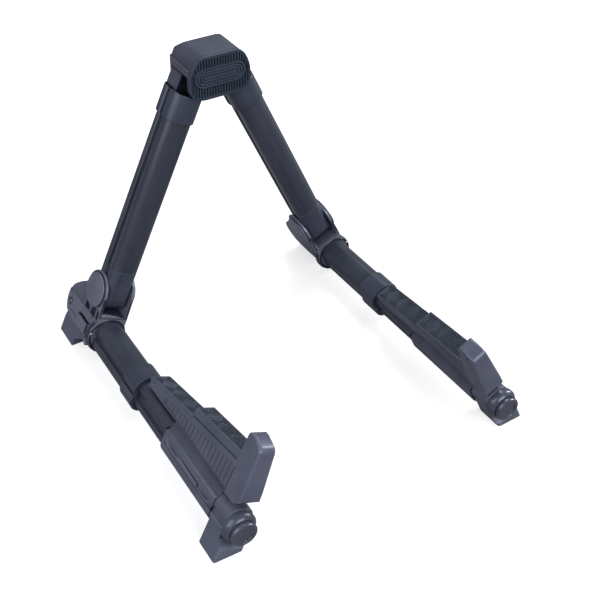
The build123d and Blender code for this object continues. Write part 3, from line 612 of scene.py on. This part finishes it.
CRADLE_CUTS = [
    channel(13.0, 12.2, 6.0, SLEEVE_BACK - 2, SLEEVE_FRONT + 2),
    channel(-13.0, 12.2, 6.0, SLEEVE_BACK - 2, SLEEVE_FRONT + 2),
    prism(LADDER_LOW + LADDER_HIGH[::-1], PAD_SIDE - PANEL_DEEP, PAD_OUT),
    prism(INNER_LOW + INNER_HIGH[::-1], -PAD_OUT, PANEL_DEEP - PAD_SIDE),
    prism([(SLEEVE_BACK - 30, 13.0), (SLEEVE_BACK + 2.2, 13.0), (SLEEVE_BACK + 2.2, 15.3),
           (SLEEVE_BACK - 30, 14.2)], PAD_SIDE - 3.5, PAD_OUT),
    bar_line((STEP + 0.5, PAD_UNDER[0] - 0.4), (LIP_BACK + 0.5, PAD_UNDER[1] - 0.4), 1.3,
             PAD_SIDE - 1.1, PAD_OUT),
    bar_line((STEP + 5, PAD_UNDER[0] + 0.3), (LIP_BACK + 0.5, PAD_UNDER[1] - 0.4), 1.9,
             -PAD_OUT, 1.5 - PAD_SIDE),
    bar_line((SLEEVE_BACK + 28.5, 1.6), (SLEEVE_BACK + 54.8, 1.2), 0.8, SLEEVE_SIDE - 1.3, SIDE_OUT),
    bar_line((SLEEVE_BACK + 54.3, 1.6), (SLEEVE_BACK + 54.1, -1.8), 0.8, SLEEVE_SIDE - 1.3, SIDE_OUT),
    bar_line((SLEEVE_BACK + 13, -0.4), (SLEEVE_BACK + 22, -0.5), 0.5, SLEEVE_SIDE - 0.9, SIDE_OUT),
    bar_line((SLEEVE_BACK + 60, -0.4), (SLEEVE_BACK + 68.5, -0.5), 0.5, SLEEVE_SIDE - 0.9, SIDE_OUT),
    bar_line((SLEEVE_BACK + 4, -3.1), (SLEEVE_FRONT + 1, -3.4), 0.45, SLEEVE_SIDE - 0.8, SIDE_OUT),
    bar_line((SLEEVE_BACK + 4, -3.1), (SLEEVE_FRONT + 1, -3.4), 0.6, -SIDE_OUT, 0.6 - SLEEVE_SIDE),
    prism(disc_outline(LIP_BACK + 10.0, 57.4, 1.05), -12, 1.6 - PAD_SIDE),
    prism(disc_outline(LIP_BACK + 5.4, 18.2, 1.05), -12, 1.8 - PAD_SIDE),
]
LOBE_HOLE = (-49.2, 2.2)
BRACKET_CUTS = [
    ring_cutter(PIN[0], PIN[2], 13.6, 15.1, CHEEK - 1.2, CHEEK_OUT),
    prism([(-25.7, 12.7), (-17.5, 12.7), (-17.5, 21.0), (-25.7, 23.0)], CHEEK - WINDOW_DEEP, CHEEK_OUT),
    prism([(-15.7, 12.7), (-7.2, 12.7), (-7.2, 23.0), (-15.7, 21.0)], CHEEK - WINDOW_DEEP, CHEEK_OUT),
    prism([(-5.2, 13.4), (-1.6, 13.4), (-1.8, 20.0), (-5.2, 22.5)], CHEEK - WINDOW_DEEP, CHEEK_OUT),
    prism([(-62.0, 11.6), (-27.6, 11.6), (-27.6, 24.0), (-30.5, 27.0), (-36.0, 40.0), (-62.0, 40.0)],
          CHEEK - 0.5, CHEEK_OUT),
    bar_line((-14.0, 4.3), (-7.6, 4.3), 1.4, CHEEK - 1.7, CHEEK_OUT),
    bar_line((-46.5, -3.0), (-32.6, -3.0), 0.6, CHEEK - 0.6, CHEEK_OUT),
    prism([(-11.0, -8.3), (-6.8, -8.3), (-6.8, -4.5), (-11.0, -4.5)], CHEEK - 1.9, CHEEK_OUT),
    prism(disc_outline(*LOBE_HOLE, 3.3), CHEEK - 0.9, CHEEK_OUT),
    prism(BUTTON_OUTLINE + np.array([[-0.25, -0.25], [0.25, -0.25], [0.25, 0.25], [0.0, 0.25], [-0.25, 0.1]]),
          BUTTON_LOW[1] - 1.35, CHEEK_OUT),
]


def cross_prism(outline, start, end, axis):
    """Closed prism over an outline in the other two axes, from start to end along axis 0 (x) or 1 (y)."""
    low, high = (np.insert(np.array(outline, float), axis, at, 1) for at in (start, end))
    return between_loops(MM * low, MM * high, -1)


HEAD_BOXES = np.array([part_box(node) for node in ("head_housing", "head_cover")]) / MM
HEAD_LOW, HEAD_HIGH = HEAD_BOXES[:, 0].min(0), HEAD_BOXES[:, 1].max(0)
HEAD_SIDE = HEAD_HIGH[0]
AXLE = np.array(JOINTS["right_leg_fold"]["pos_m"]) / MM
AXLE_BACK, AXLE_UP = AXLE[1:]
CHEEK_FOOT = AXLE_UP - 2.0        # lower edge of the head's side cheeks
NECK_FRONT = AXLE_BACK - 4.0      # front of the neck, behind the open space
CHEEK_THICK = 1.1
UNDER_CHEEK = HEAD_SIDE - CHEEK_THICK - 0.3
TRIM_ANGLE = math.radians(68)     # way that the knuckle's trimmed top faces
TRIM_X, TRIM_Z = math.cos(TRIM_ANGLE), math.sin(TRIM_ANGLE)
KNUCKLE_SPAN = (AXLE_BACK - 20, AXLE_BACK + 20)
NECK_CUTS = [
    cross_prism([(NECK_FRONT, AXLE_UP + 6.2), (NECK_FRONT, AXLE_UP - 16), (80.0, AXLE_UP - 16),
                 (80.0, AXLE_UP + 6.2)], AXLE[0] - 3.0, 60.0, 0),
    cross_prism([(UNDER_CHEEK, AXLE_UP + 20), (UNDER_CHEEK, AXLE_UP + 7.8), (HEAD_SIDE - 0.2, AXLE_UP + 5.3),
                 (HEAD_SIDE + 6.8, AXLE_UP - 9.2), (HEAD_SIDE + 20, AXLE_UP - 9.2),
                 (HEAD_SIDE + 20, AXLE_UP + 20)], *KNUCKLE_SPAN, 1),
    cross_prism([(AXLE[0] + out * TRIM_X - along * TRIM_Z, AXLE_UP + out * TRIM_Z + along * TRIM_X)
                 for out, along in ((7.65, -20.0), (7.65, 20.0), (27.0, 20.0), (27.0, -20.0))],
                *KNUCKLE_SPAN, 1),
]


# -------------------- painted shade in cuts and hollows
SHOULDER = 14.4           # the cradle's wedge is above this height, and its sleeve below


def neck_shade(ahead, outward, up, cut):
    """Cut faces of the neck: painted black shade where they face the open space, plain on the outer slope."""
    return 0.96 * cut * (ahead > ARM_ORIGIN[1] / MM - NECK_FRONT - 0.8)


def cradle_shade(ahead, outward, up, cut):
    """Painted shade in a cut by its depth below the face that it is cut in, and less in the long channels."""
    face = np.where(up > SHOULDER, PAD_SIDE, SLEEVE_SIDE)
    deep = np.clip((face - np.abs(outward)) / 1.2, 0, 1)
    # Painted near-black shade in the gap under the wedge's tip and in the sleeve's slits; lighter painted
    # shade in the long channels.
    under = (up < 16.6) & (up > 12.9) & (ahead < SLEEVE_BACK + 2.6)
    slit = (up < 4.0) & (np.abs(outward) > SLEEVE_SIDE - 2) & (np.abs(outward) < SLEEVE_SIDE - 0.15)
    return cut * np.where(under | slit, 0.96, np.where((up > 6) & (up < SHOULDER), 0.35, 0.85 * deep))


def bracket_shade(ahead, outward, up, cut):
    """Painted shade in a cut by its depth, and painted black shade between the cheeks over the arm."""
    between = (np.abs(outward) < 11.3) & (up > 13.0) & (up < 30.0) & (ahead > -34) & (ahead < 0.5)
    return np.where(between, 0.93, cut * 0.9 * np.clip((CHEEK - outward) / 1.5, 0, 1))


# -------------------- skins of the rigid parts
EDGE_RADIUS = {           # in millimetres, as every length is that isn't a point of a mesh
    "leg_top": 0.7, "leg_collar": 0.5, "leg_tube": 0.25, "leg_bottom": 0.5,
    "pivot_cap_outer": 0.3, "pivot_cap_inner": 0.3, "rear_foot": 1.1, "arm_tube": 0.25,
    "arm_collar": 0.45, "front_tube": 0.25, "end_cap": 0.6, "front_foot": 0.9,
}
SPECIAL_FINISH = {"leg_top": HEAD_PLASTIC, "leg_collar": DARK_PLASTIC, "leg_bottom": DARK_PLASTIC,
                  "arm_collar": DARK_PLASTIC, "pivot_cap_outer": BRACKET_PLASTIC,
                  "pivot_cap_inner": BRACKET_PLASTIC}
HEAD_ROUND = 5.0          # at the shoulders
HEAD_BACK_ROUND = 3.2     # at the edges of the back
LIP_FOOT = 17.0           # height of the lip's foot above the arm axis
QUARTER = np.linspace(0, math.pi / 2, 9)
BACK_DRAWN = HEAD_BACK_ROUND * (1 - np.cos(QUARTER))     # how far the head's rounded back edge is drawn in
BACK_LEFT = HEAD_BACK_ROUND * (1 - np.sin(QUARTER))      # at these distances from the back
CLEAR = 0.03              # a cutter's flats stand this far outside the faces that they leave alone


def inside_distance(x, z, corners, radius):
    """Distance inwards from the rim of a convex outline whose corners are rounded to radius."""
    corners = np.array(corners, float)
    direction = np.roll(corners, -1, 0) - corners
    direction /= np.linalg.norm(direction, axis=1)[:, None]
    normal = np.stack([-direction[:, 1], direction[:, 0]], 1)
    depth = (x[..., None] - corners[:, 0]) * normal[:, 0] + (z[..., None] - corners[:, 1]) * normal[:, 1]
    sorted_depth = np.sort(depth - radius, -1)
    near, second = sorted_depth[..., 0], sorted_depth[..., 1]
    corner = -np.hypot(np.minimum(near, 0), np.minimum(second, 0))
    return radius + np.where(near < 0, corner, near)


def hood():
    """Closed rounded block round the head: rays from its middle to the outline, drawn in towards the back."""
    half, top, low = HEAD_SIDE + CLEAR, HEAD_HIGH[2] + CLEAR, HEAD_LOW[2] - 12.0
    middle = (top + low) / 2
    top, low = top - middle, low - middle
    outline = [(-half, low), (half, low), (half, top - 10.5), (half - 7.2, top), (7.2 - half, top),
               (-half, top - 10.5)]
    stations = np.concatenate([[HEAD_LOW[1] - 1.0], HEAD_HIGH[1] + CLEAR - BACK_LEFT])
    insets = np.concatenate([[0.0], BACK_DRAWN * 0.999])
    x, z = circle(144)
    count = len(x)
    near, far = np.zeros((len(insets), count)), np.full((len(insets), count), 60.0)
    for _ in range(30):
        reach = (near + far) / 2
        inside = inside_distance(reach * x, reach * z, outline, HEAD_ROUND) > insets[:, None]
        near, far = np.where(inside, reach, near), np.where(inside, far, reach)
    points = np.stack([near * x, np.broadcast_to(stations[:, None], near.shape), near * z + middle], -1)
    first = np.arange(count)
    last = first + (len(insets) - 1) * count
    faces = grid_faces(len(insets), count, closed=True) + [first[::-1].tolist(), last.tolist()]
    return MM * points.reshape(-1, 3), faces


HOOD = hood()


def cradle_radius(side):
    """Wider rounding on the lip's front than on the body."""
    def radius(place):
        offset = mirrored(place, side) - ARM_ORIGIN / MM
        on_lip = (offset @ AHEAD > LIP_BACK - 1) & (offset @ UPWARD > LIP_FOOT)
        return np.where(on_lip, 2.0, 0.4)
    return radius


skin("head_housing", 0.4, HEAD_PLASTIC, within=HOOD)
skin("head_cover", 0.0, HEAD_PLASTIC, within=HOOD)
for hand, side in SIDES:
    for part, width in EDGE_RADIUS.items():
        node = f"{hand}_{part}"
        skin(node, width, SPECIAL_FINISH.get(part, FINISH_OF[SLOT_OF[node]]), side=side,
             cutters=NECK_CUTS if part == "leg_top" else (), shade=neck_shade,
             least=2.5 if part == "front_foot" else 0.0)
    skin([f"{hand}_cradle_outer", f"{hand}_cradle_inner"], 0.6, PLASTIC, side=side,
         cutters=CRADLE_CUTS, radius_at=cradle_radius(side), shade=cradle_shade)
    skin([f"{hand}_bracket_outer", f"{hand}_bracket_inner"], 0.5, BRACKET_PLASTIC, side=side,
         cutters=BRACKET_CUTS, shade=bracket_shade)


def cheek_plate(hand, side):
    """Side cheek of the head: a plate over a grid of depth and height.

    Its back edge is drawn in as a quarter circle. Its lower edge is higher over the knuckle than behind it.
    """
    front, step, back = HEAD_LOW[1] + 0.6, AXLE_BACK + 12.2, HEAD_HIGH[1]
    stations = np.concatenate([np.linspace(front, step, 10), [step + 0.2], back - BACK_LEFT])
    inset = np.concatenate([np.zeros(11), BACK_DRAWN])
    rows = np.linspace(0, 1, 8)
    deep = np.interp(stations, (front, step, step + 0.2), (AXLE_UP + 6.0, AXLE_UP + 6.0, CHEEK_FOOT))
    y, share = np.meshgrid(stations, rows, indexing="ij")
    z = deep[:, None] + share * (AXLE_UP + 13.0 - deep[:, None])
    soft = 0.5 * np.clip(1 - (z - deep[:, None]) / 0.6, 0, 1)
    x = HEAD_SIDE - inset[:, None] - soft
    face = MM * np.stack([x, y, z], -1)
    rim, faces = block_faces(len(stations), len(rows))
    low = MM * np.stack([x - CHEEK_THICK, y - 0.4 * (inset[:, None] > 0), z], -1).reshape(-1, 3)[rim]
    points = np.concatenate([face.reshape(-1, 3), low])
    new_piece(f"{hand}_head_cheek", points, faces, "head", HEAD_PLASTIC, "black_plastic", side)


for hand, side in SIDES:
    cheek_plate(hand, side)

# -------------------- backrest pad
PAD_BOX = np.array(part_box("head_pad")) / MM
PAD_RISE = 3.5            # pad in front of the head's plate
PAD_BACK = PAD_BOX[0][1] + PAD_RISE
PAD_HALF = 25.4
PAD_TOP = min(PAD_BOX[1][2], CAD_BOX[1][2] / MM) + 0.2
PAD_FOOT = PAD_BOX[0][2] - 0.2
PAD_MID = (PAD_TOP + PAD_FOOT) / 2
PAD_TALL = (PAD_TOP - PAD_FOOT) / 2
PAD_ROUND = 4.6
PAD_CORNERS = [(6.5 - PAD_HALF, -PAD_TALL), (PAD_HALF - 6.5, -PAD_TALL), (PAD_HALF, 5.5 - PAD_TALL),
               (PAD_HALF, PAD_TALL - 11.0), (PAD_HALF - 8.0, PAD_TALL), (8.0 - PAD_HALF, PAD_TALL),
               (-PAD_HALF, PAD_TALL - 11.0), (-PAD_HALF, 5.5 - PAD_TALL)]
PAD_LINES = ((21.4, 8.0), (19.0, 5.8), (16.7, 3.7), (14.4, 1.5))    # half length and half height of each
LINES_UP = 0.4            # middle of the nested lines above the pad's middle
RIB_PITCH = 2.25


def stadium(x, z, half, high):
    """Distance inwards from the edge of a long round-ended shape."""
    reach = np.maximum(np.abs(x) - (half - high), 0)
    return high - np.hypot(reach, z)


def groove(distance, width):
    """Share, 0 to 1, of a rounded groove centred where distance is zero."""
    return np.clip(1 - (distance / (width / 2)) ** 2, 0, 1) ** 0.5


def pad_height(x, z):
    """Front of the backrest pad: rim, rows of upright ribs, nested round-ended lines, painted shade in
    grooves.
    """
    rim = inside_distance(x, z, PAD_CORNERS, PAD_ROUND)
    height = PAD_RISE - rounded_edge(rim, 0.9)
    trench = groove(rim - 1.7, 0.7)
    field = np.clip((rim - 2.5) / 0.4, 0, 1) * np.clip(-stadium(x, z - LINES_UP, *PAD_LINES[0]) / 0.3, 0, 1)
    slots = groove((x + RIB_PITCH / 2) % RIB_PITCH - RIB_PITCH / 2, 1.3) * field
    lines = 0.0 * rim
    for half, high in PAD_LINES:
        lines = np.maximum(lines, groove(stadium(x, z - LINES_UP, half, high), 1.0))
    height = height - 0.5 * trench - 1.3 * slots - 0.8 * lines
    # Painted shade in the trench, slots and lines, faded out at the rim.
    painted_shade = np.maximum(np.maximum(0.75 * trench, 0.95 * slots), 0.85 * lines)
    return height, painted_shade * np.clip(rim / 1.5, 0, 1)


def shrink_to_outline(u, v, corners, radius):
    """A square's grid drawn in to a convex rounded outline: rows stay level, columns share the width."""
    z = v * max(corner[1] for corner in corners)
    low, high = np.zeros_like(u), np.full_like(u, max(corner[0] for corner in corners))
    for _ in range(26):
        middle = (low + high) / 2
        inside = inside_distance(middle, z, corners, radius) > -1e-4
        low, high = np.where(inside, middle, low), np.where(inside, high, middle)
    return u * low, z


BUNCHING = math.pi / 2 * 0.985    # draws the grid's rows together towards the pad's ends
PAD_U, PAD_V = np.linspace(-1, 1, 320), np.linspace(-1, 1, 220)
PAD_V = 0.6 * np.sin(PAD_V * BUNCHING) / math.sin(BUNCHING) + 0.4 * PAD_V


def pad_place(u, v, height):
    """Place of the pad's face: the outline's grid, standing out to the front by the height."""
    x, z = shrink_to_outline(u, v, PAD_CORNERS, PAD_ROUND)
    return MM * np.stack([x, np.broadcast_to(PAD_BACK - height, x.shape), z + PAD_MID], -1)


head_pad = relief_block(
    "head_pad_face", pad_place, PAD_U, PAD_V,
    lambda u, v: pad_height(*shrink_to_outline(u, v, PAD_CORNERS, PAD_ROUND)), lambda u, v: 0 * u,
    "head", BACKREST, "black_rubber",
)
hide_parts("head_pad")

# -------------------- cradle pads and ladders
SQUARE = 14.5             # pitch of the nested squares along the pad
SQUARE_LINE = 1.8         # pitch of the lines in a square


def squares(ahead, across):
    """Nested squares: lines at steps of the larger of |a| and |b| from the centre of each cell."""
    a = np.abs((ahead + SQUARE / 2) % SQUARE - SQUARE / 2)
    reach = np.maximum(a, np.abs(across))
    wave = 0.5 + 0.5 * np.cos(2 * math.pi * reach / SQUARE_LINE)
    return np.clip((wave - 0.4) / 0.35, 0, 1)


def cradle_pad(hand, side, part, skirt, lift):
    """A rubber pad with a plain skirt round a field of nested squares, with painted shade in their valleys.
    """
    node = f"right_{part}"
    low, high = arm_box(node)
    start, end = low[0], high[0]
    half = (high[1] - low[1]) / 2
    tops = [edge_height(node, at) for at in (start, end)]
    bottoms = [edge_height(node, at, False) for at in (start, end)]

    def top(ahead, across):
        rim = np.minimum(np.minimum(ahead - start, end - ahead), half - np.abs(across))
        level = np.interp(ahead, (start, end), tops)
        field = np.clip((rim - skirt) / 0.3, 0, 1)
        valley = field * (1 - squares(ahead - start - 6.2, across))
        # Painted shade: near black in the valleys, and a little over the rest of the field.
        return level - rounded_edge(rim, 0.9) - lift * valley, 0.95 * valley + 0.12 * field * (1 - valley)

    piece = relief_block(
        f"{hand}_{part}_face", from_arm,
        np.linspace(start, end, int((end - start) / 0.2)), np.linspace(-half, half, 80),
        top, lambda ahead, across: np.interp(ahead, (start, end), bottoms),
        BODY_OF[f"{hand}_{part}"], RUBBER, "black_rubber", side,
    )
    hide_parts(f"{hand}_{part}")


SCREW_HOLES = [(SLEEVE_BACK + 37, 24.3), (SLEEVE_BACK + 18, 18.0), (SLEEVE_BACK + 56, 18.0)]


def ladder(hand, side, face, low, high, pitch, lean):
    """Slanted ribs that fill a panel's pocket on the wedge's outer (face 1) or inner (face -1) side."""
    low, high = np.array(low, float), np.array(high, float)
    start, end = low[0, 0] + 0.05, low[-1, 0] - 0.05

    def levels(u):
        """Place along the panel at share u, and the heights of its lower and upper edge there."""
        ahead = start + u * (end - start)
        under, over = np.interp(ahead, *low.T), np.interp(ahead, *high.T)
        return ahead, under + 0.05, over - 0.05

    def place(u, v, height):
        ahead, under, over = levels(u)
        return from_arm(ahead, face * (PAD_SIDE + height), under + v * (over - under))

    def top(u, v):
        ahead, under, over = levels(u)
        up = under + v * (over - under)
        rim = np.minimum(np.minimum(v, 1 - v) * (over - under), np.minimum(ahead - start, end - ahead))
        wave = (ahead - lean * up) % pitch - pitch / 2
        inner = np.clip((rim - 0.7) / 0.25, 0, 1)
        lines = groove(wave, 0.2 * pitch) * inner
        height = -0.25 - 0.5 * lines - 0.35 * (1 - np.clip(rim / 0.5, 0, 1))
        # Painted shade in the rib grooves and along the pocket's rim.
        painted_shade = 0.55 * lines + 0.4 * (1 - np.clip(rim / 0.4, 0, 1))
        for at, level in SCREW_HOLES if face < 0 else ():
            pit = np.clip((1.25 - np.hypot(ahead - at, up - level)) / 0.3, 0, 1)
            height = height - 0.35 * pit
            # Painted near-black shade in the screw holes.
            painted_shade = np.maximum(painted_shade, 0.97 * pit)
        return height, painted_shade

    relief_block(
        f"{hand}_ladder_{'outer' if face > 0 else 'inner'}", place,
        np.linspace(0, 1, 560), np.linspace(0, 1, 90), top, lambda u, v: 0 * u - PANEL_DEEP - 0.05,
        BODY_OF[f"{hand}_cradle_outer"], PLASTIC, "black_plastic", side,
    )


SCREW_PROFILE = [(-0.3, 0.0), (-0.3, 0.85), (0.0, 0.85), (0.14, 0.6), (0.05, 0.0)]
for hand, side in SIDES:
    cradle_pad(hand, side, "rear_pad", 0.9, 0.6)
    cradle_pad(hand, side, "front_pad", 1.2, 0.7)
    ladder(hand, side, 1, LADDER_LOW, LADDER_HIGH, 4.8, 0.04)
    ladder(hand, side, -1, INNER_LOW, INNER_HIGH, 4.8, -0.06)
    heads = [
        ring_piece(f"{hand}_cradle_screw_{number}", SCREW_PROFILE, from_arm(at, 0.5 - PAD_SIDE, level),
                   -OUTWARD, BODY_OF[f"{hand}_cradle_outer"], DARK_STEEL, "bare_steel", side, steps=24)
        for number, (at, level) in enumerate(SCREW_HOLES)
    ]
    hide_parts(f"{hand}_cradle_screws")

# -------------------- ring, knob and small metal
RING_PROFILE = [(-5.4, 13.4), (-5.4, 16.3), (-4.9, 16.7), (-1.6, 16.7), (-1.1, 16.3), (-0.9, 15.9),
                (0.1, 15.9), (0.45, 15.5), (0.45, 14.6), (0.0, 13.9), (-1.0, 13.4)]
AXIS_DROP = 1.5           # cap and knob below the arm axis
KNOB_FACE = arm_box("right_end_knob")[1][0]
KNOB_BACK = arm_box("right_end_knob")[0][0]
KNOB_PROFILE = [(KNOB_BACK, 0.0), (KNOB_BACK, 12.2), (KNOB_BACK + 0.4, 12.6), (KNOB_BACK + 3.8, 12.6),
                (KNOB_BACK + 4.3, 12.4), (KNOB_BACK + 6.9, 10.7), (KNOB_BACK + 7.2, 10.2),
                (KNOB_BACK + 7.2, 8.9), (KNOB_BACK + 8.3, 8.9), (KNOB_BACK + 8.4, 9.4),
                (KNOB_BACK + 8.9, 9.9), (KNOB_FACE - 1.0, 9.9), (KNOB_FACE - 0.3, 9.5),
                (KNOB_FACE, 8.7), (KNOB_FACE, 7.7), (KNOB_FACE - 0.35, 7.4)]
KNOB_PROFILE += [(KNOB_FACE - 0.35, radius) for radius in np.linspace(7.2, 0.0, 19)]


def crescent(along, radius, angle, turned):
    """Depth of a crescent slot pressed into the knob's face, from its distance round and in from the rim."""
    reach = np.abs((angle - turned + math.pi) % (2 * math.pi) - math.pi)
    width = 0.8 * np.clip(1 - (reach / 0.75) ** 2, 0, 1) ** 0.5
    slot = np.clip((width - np.abs(radius - 5.9)) / 0.25, 0, 1)
    return 0.9 * slot * (along > KNOB_FACE - 0.6) * (radius < 7.3)


for hand, side in SIDES:
    ring_piece(f"{hand}_ring_band", RING_PROFILE, ARM_ORIGIN, AHEAD, f"{hand}_arm", BLACK,
               "black_plastic", side)
    turned = math.radians(-35 if side > 0 else -145)
    knob = ring_piece(f"{hand}_knob_turned", KNOB_PROFILE, ARM_ORIGIN - MM * AXIS_DROP * UPWARD, AHEAD,
                      f"{hand}_front_section", KNOB, "black_plastic", side,
                      press=lambda along, radius, angle: crescent(along, radius, angle, turned))
    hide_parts(f"{hand}_end_knob")
    ring_piece(f"{hand}_ring_screw",
               [(-1.0, 0.0), (-1.0, 1.4), (0.5, 1.4), (0.85, 1.0), (0.85, 0.7), (0.4, 0.0)],
               from_arm(0.3, 14.6, 1.4), AHEAD, f"{hand}_arm", BRASS, "bare_steel", side, steps=32)
    ring_piece(f"{hand}_pin_washer", [(-1.3, 13.65), (-1.3, 14.6), (-0.8, 14.6), (-0.8, 13.65)],
               from_arm(PIN[0], CHEEK, PIN[2]), OUTWARD, f"{hand}_arm", DARK_STEEL, "bare_steel", side)
    screw = ring_piece(f"{hand}_lobe_screw",
                       [(-1.6, 0.0), (-1.6, 1.7), (-0.6, 1.7), (-0.35, 1.4), (-0.35, 0.0)],
                       from_arm(LOBE_HOLE[0], CHEEK, LOBE_HOLE[1]), OUTWARD, f"{hand}_arm", DARK_STEEL,
                       "bare_steel", side, steps=32)
    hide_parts(f"{hand}_bracket_screws")


# -------------------- release buttons and bracket tabs
BLOCK_SHARP = 25.0        # edges that turn by more, in degrees, are rounded


def soft_block(name, outline, near, far, radius, body, finish, side):
    """Plate over an outline of (ahead, up), with its sharp edges rounded by a bevel."""
    piece = new_piece(name, *prism(outline, near, far), body, finish, "black_plastic", side)
    smooth(piece.data, BLOCK_SHARP)
    bevel = piece.modifiers.new("rounded edges", "BEVEL")
    bevel.width, bevel.segments, bevel.harden_normals = radius * MM, 4, True
    bevel.limit_method, bevel.angle_limit = "ANGLE", math.radians(BLOCK_SHARP)
    return piece


TAB_OUTLINE = [(-14.4, -8.4), (-6.6, -8.4), (-5.8, -12.2), (-8.0, -14.8), (-13.2, -13.0)]
for hand, side in SIDES:
    button = soft_block(f"{hand}_button_plate", BUTTON_OUTLINE, BUTTON_LOW[1], BUTTON_HIGH[1], 0.8,
                        f"{hand}_button", BRACKET_PLASTIC, side)
    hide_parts(f"{hand}_release_button")
    soft_block(f"{hand}_bracket_tab", TAB_OUTLINE, CHEEK - 4.0, CHEEK - 0.6, 0.6, f"{hand}_arm",
               BRACKET_PLASTIC, side)

# -------------------- camera, floor and light
VIEW_RIGHT = Vector((0.85085, -0.52528, 0.01147))
VIEW_UP = Vector((0.32129, 0.53745, 0.77970))
VIEW_BACK = Vector((-0.41572, -0.65972, 0.62605))
CAMERA_PLACE = (-0.32782, -0.54129, 0.58899)
camera_data = bpy.data.cameras.new("camera")
camera_data.lens = 64.826
camera_data.clip_start = 0.05
camera_data.clip_end = 50
camera = in_scene("camera", camera_data)
facing = Matrix((VIEW_RIGHT, VIEW_UP, VIEW_BACK)).transposed().to_4x4()
camera.matrix_world = Matrix.Translation(CAMERA_PLACE) @ facing
bpy.context.scene.camera = camera

WHITE = (1.0, 1.0, 1.0, 1.0)


def floor_material():
    """Pale floor: the camera sees it near white with part of the shadow's depth, other rays see grey.

    The white that it gives off grows with the distance from the middle, so the far floor stays white.
    """
    made = bpy.data.materials.new("pale_floor")
    made.use_nodes = True
    tree = made.node_tree
    tree.nodes.clear()
    make, link = tree.nodes.new, tree.links.new
    out, path = make("ShaderNodeOutputMaterial"), make("ShaderNodeLightPath")
    mix, seen = make("ShaderNodeMixShader"), make("ShaderNodeMixShader")
    bright, matt = make("ShaderNodeBsdfDiffuse"), make("ShaderNodeBsdfDiffuse")
    glow = make("ShaderNodeEmission")
    glow.inputs["Color"].default_value = WHITE
    place, length = make("ShaderNodeTexCoord"), make("ShaderNodeVectorMath")
    far = make("ShaderNodeMapRange")
    length.operation = "LENGTH"
    set_inputs(far, {"From Min": 0.3, "From Max": 0.8, "To Min": 1.1, "To Max": 2.4})
    link(place.outputs["Object"], length.inputs[0])
    link(length.outputs["Value"], far.inputs["Value"])
    link(far.outputs["Result"], glow.inputs["Strength"])
    bright.inputs["Color"].default_value = (0.97, 0.95, 0.93, 1)
    matt.inputs["Color"].default_value = (0.2, 0.2, 0.21, 1)
    seen.inputs["Fac"].default_value = 0.5
    link(bright.outputs["BSDF"], seen.inputs[1])
    link(glow.outputs["Emission"], seen.inputs[2])
    link(path.outputs["Is Camera Ray"], mix.inputs["Fac"])
    link(matt.outputs["BSDF"], mix.inputs[1])
    link(seen.outputs["Shader"], mix.inputs[2])
    link(mix.outputs["Shader"], out.inputs["Surface"])
    return made


floor_mesh = bpy.data.meshes.new("floor")
floor_mesh.from_pydata([(-6, -6, 0), (6, -6, 0), (6, 6, 0), (-6, 6, 0)], [], [(0, 1, 2, 3)])
floor_mesh.materials.append(floor_material())
floor = in_scene("floor", floor_mesh)


def studio_world():
    """White to the camera, and a dim cool grey to everything else."""
    world = bpy.data.worlds.new("studio")
    world.use_nodes = True
    tree = world.node_tree
    tree.nodes.clear()
    make, link = tree.nodes.new, tree.links.new
    out, mix = make("ShaderNodeOutputWorld"), make("ShaderNodeMixShader")
    dim, bright = make("ShaderNodeBackground"), make("ShaderNodeBackground")
    path = make("ShaderNodeLightPath")
    set_inputs(dim, {"Color": (0.86, 0.91, 1.0, 1), "Strength": 0.4})
    bright.inputs["Color"].default_value = WHITE
    link(path.outputs["Is Camera Ray"], mix.inputs["Fac"])
    link(dim.outputs["Background"], mix.inputs[1])
    link(bright.outputs["Background"], mix.inputs[2])
    link(mix.outputs["Shader"], out.inputs["Surface"])
    bpy.context.scene.world = world


studio_world()


LAMP_AIM = Vector((0, 0, 0.08))


def soft_lamp(name, place, size, power):
    """A rectangular lamp that faces the middle of the stand."""
    data = bpy.data.lights.new(name, "AREA")
    data.shape = "RECTANGLE"
    data.size, data.size_y = size
    data.energy = power
    data.color = (0.95, 0.97, 1.0)
    lamp = in_scene(name, data)
    lamp.location = place
    lamp.rotation_euler = (LAMP_AIM - Vector(place)).to_track_quat("-Z", "Y").to_euler()


soft_lamp("key", (-1.3, -0.35, 1.0), (1.5, 1.3), 24)
soft_lamp("front", (0.2, -1.5, 0.9), (1.2, 0.6), 24)
soft_lamp("top", (0.5, 0.55, 1.45), (0.55, 0.55), 12)
soft_lamp("right", (1.4, -0.2, 0.7), (0.25, 0.7), 20)

scene = bpy.context.scene
scene.view_settings.view_transform = "Standard"
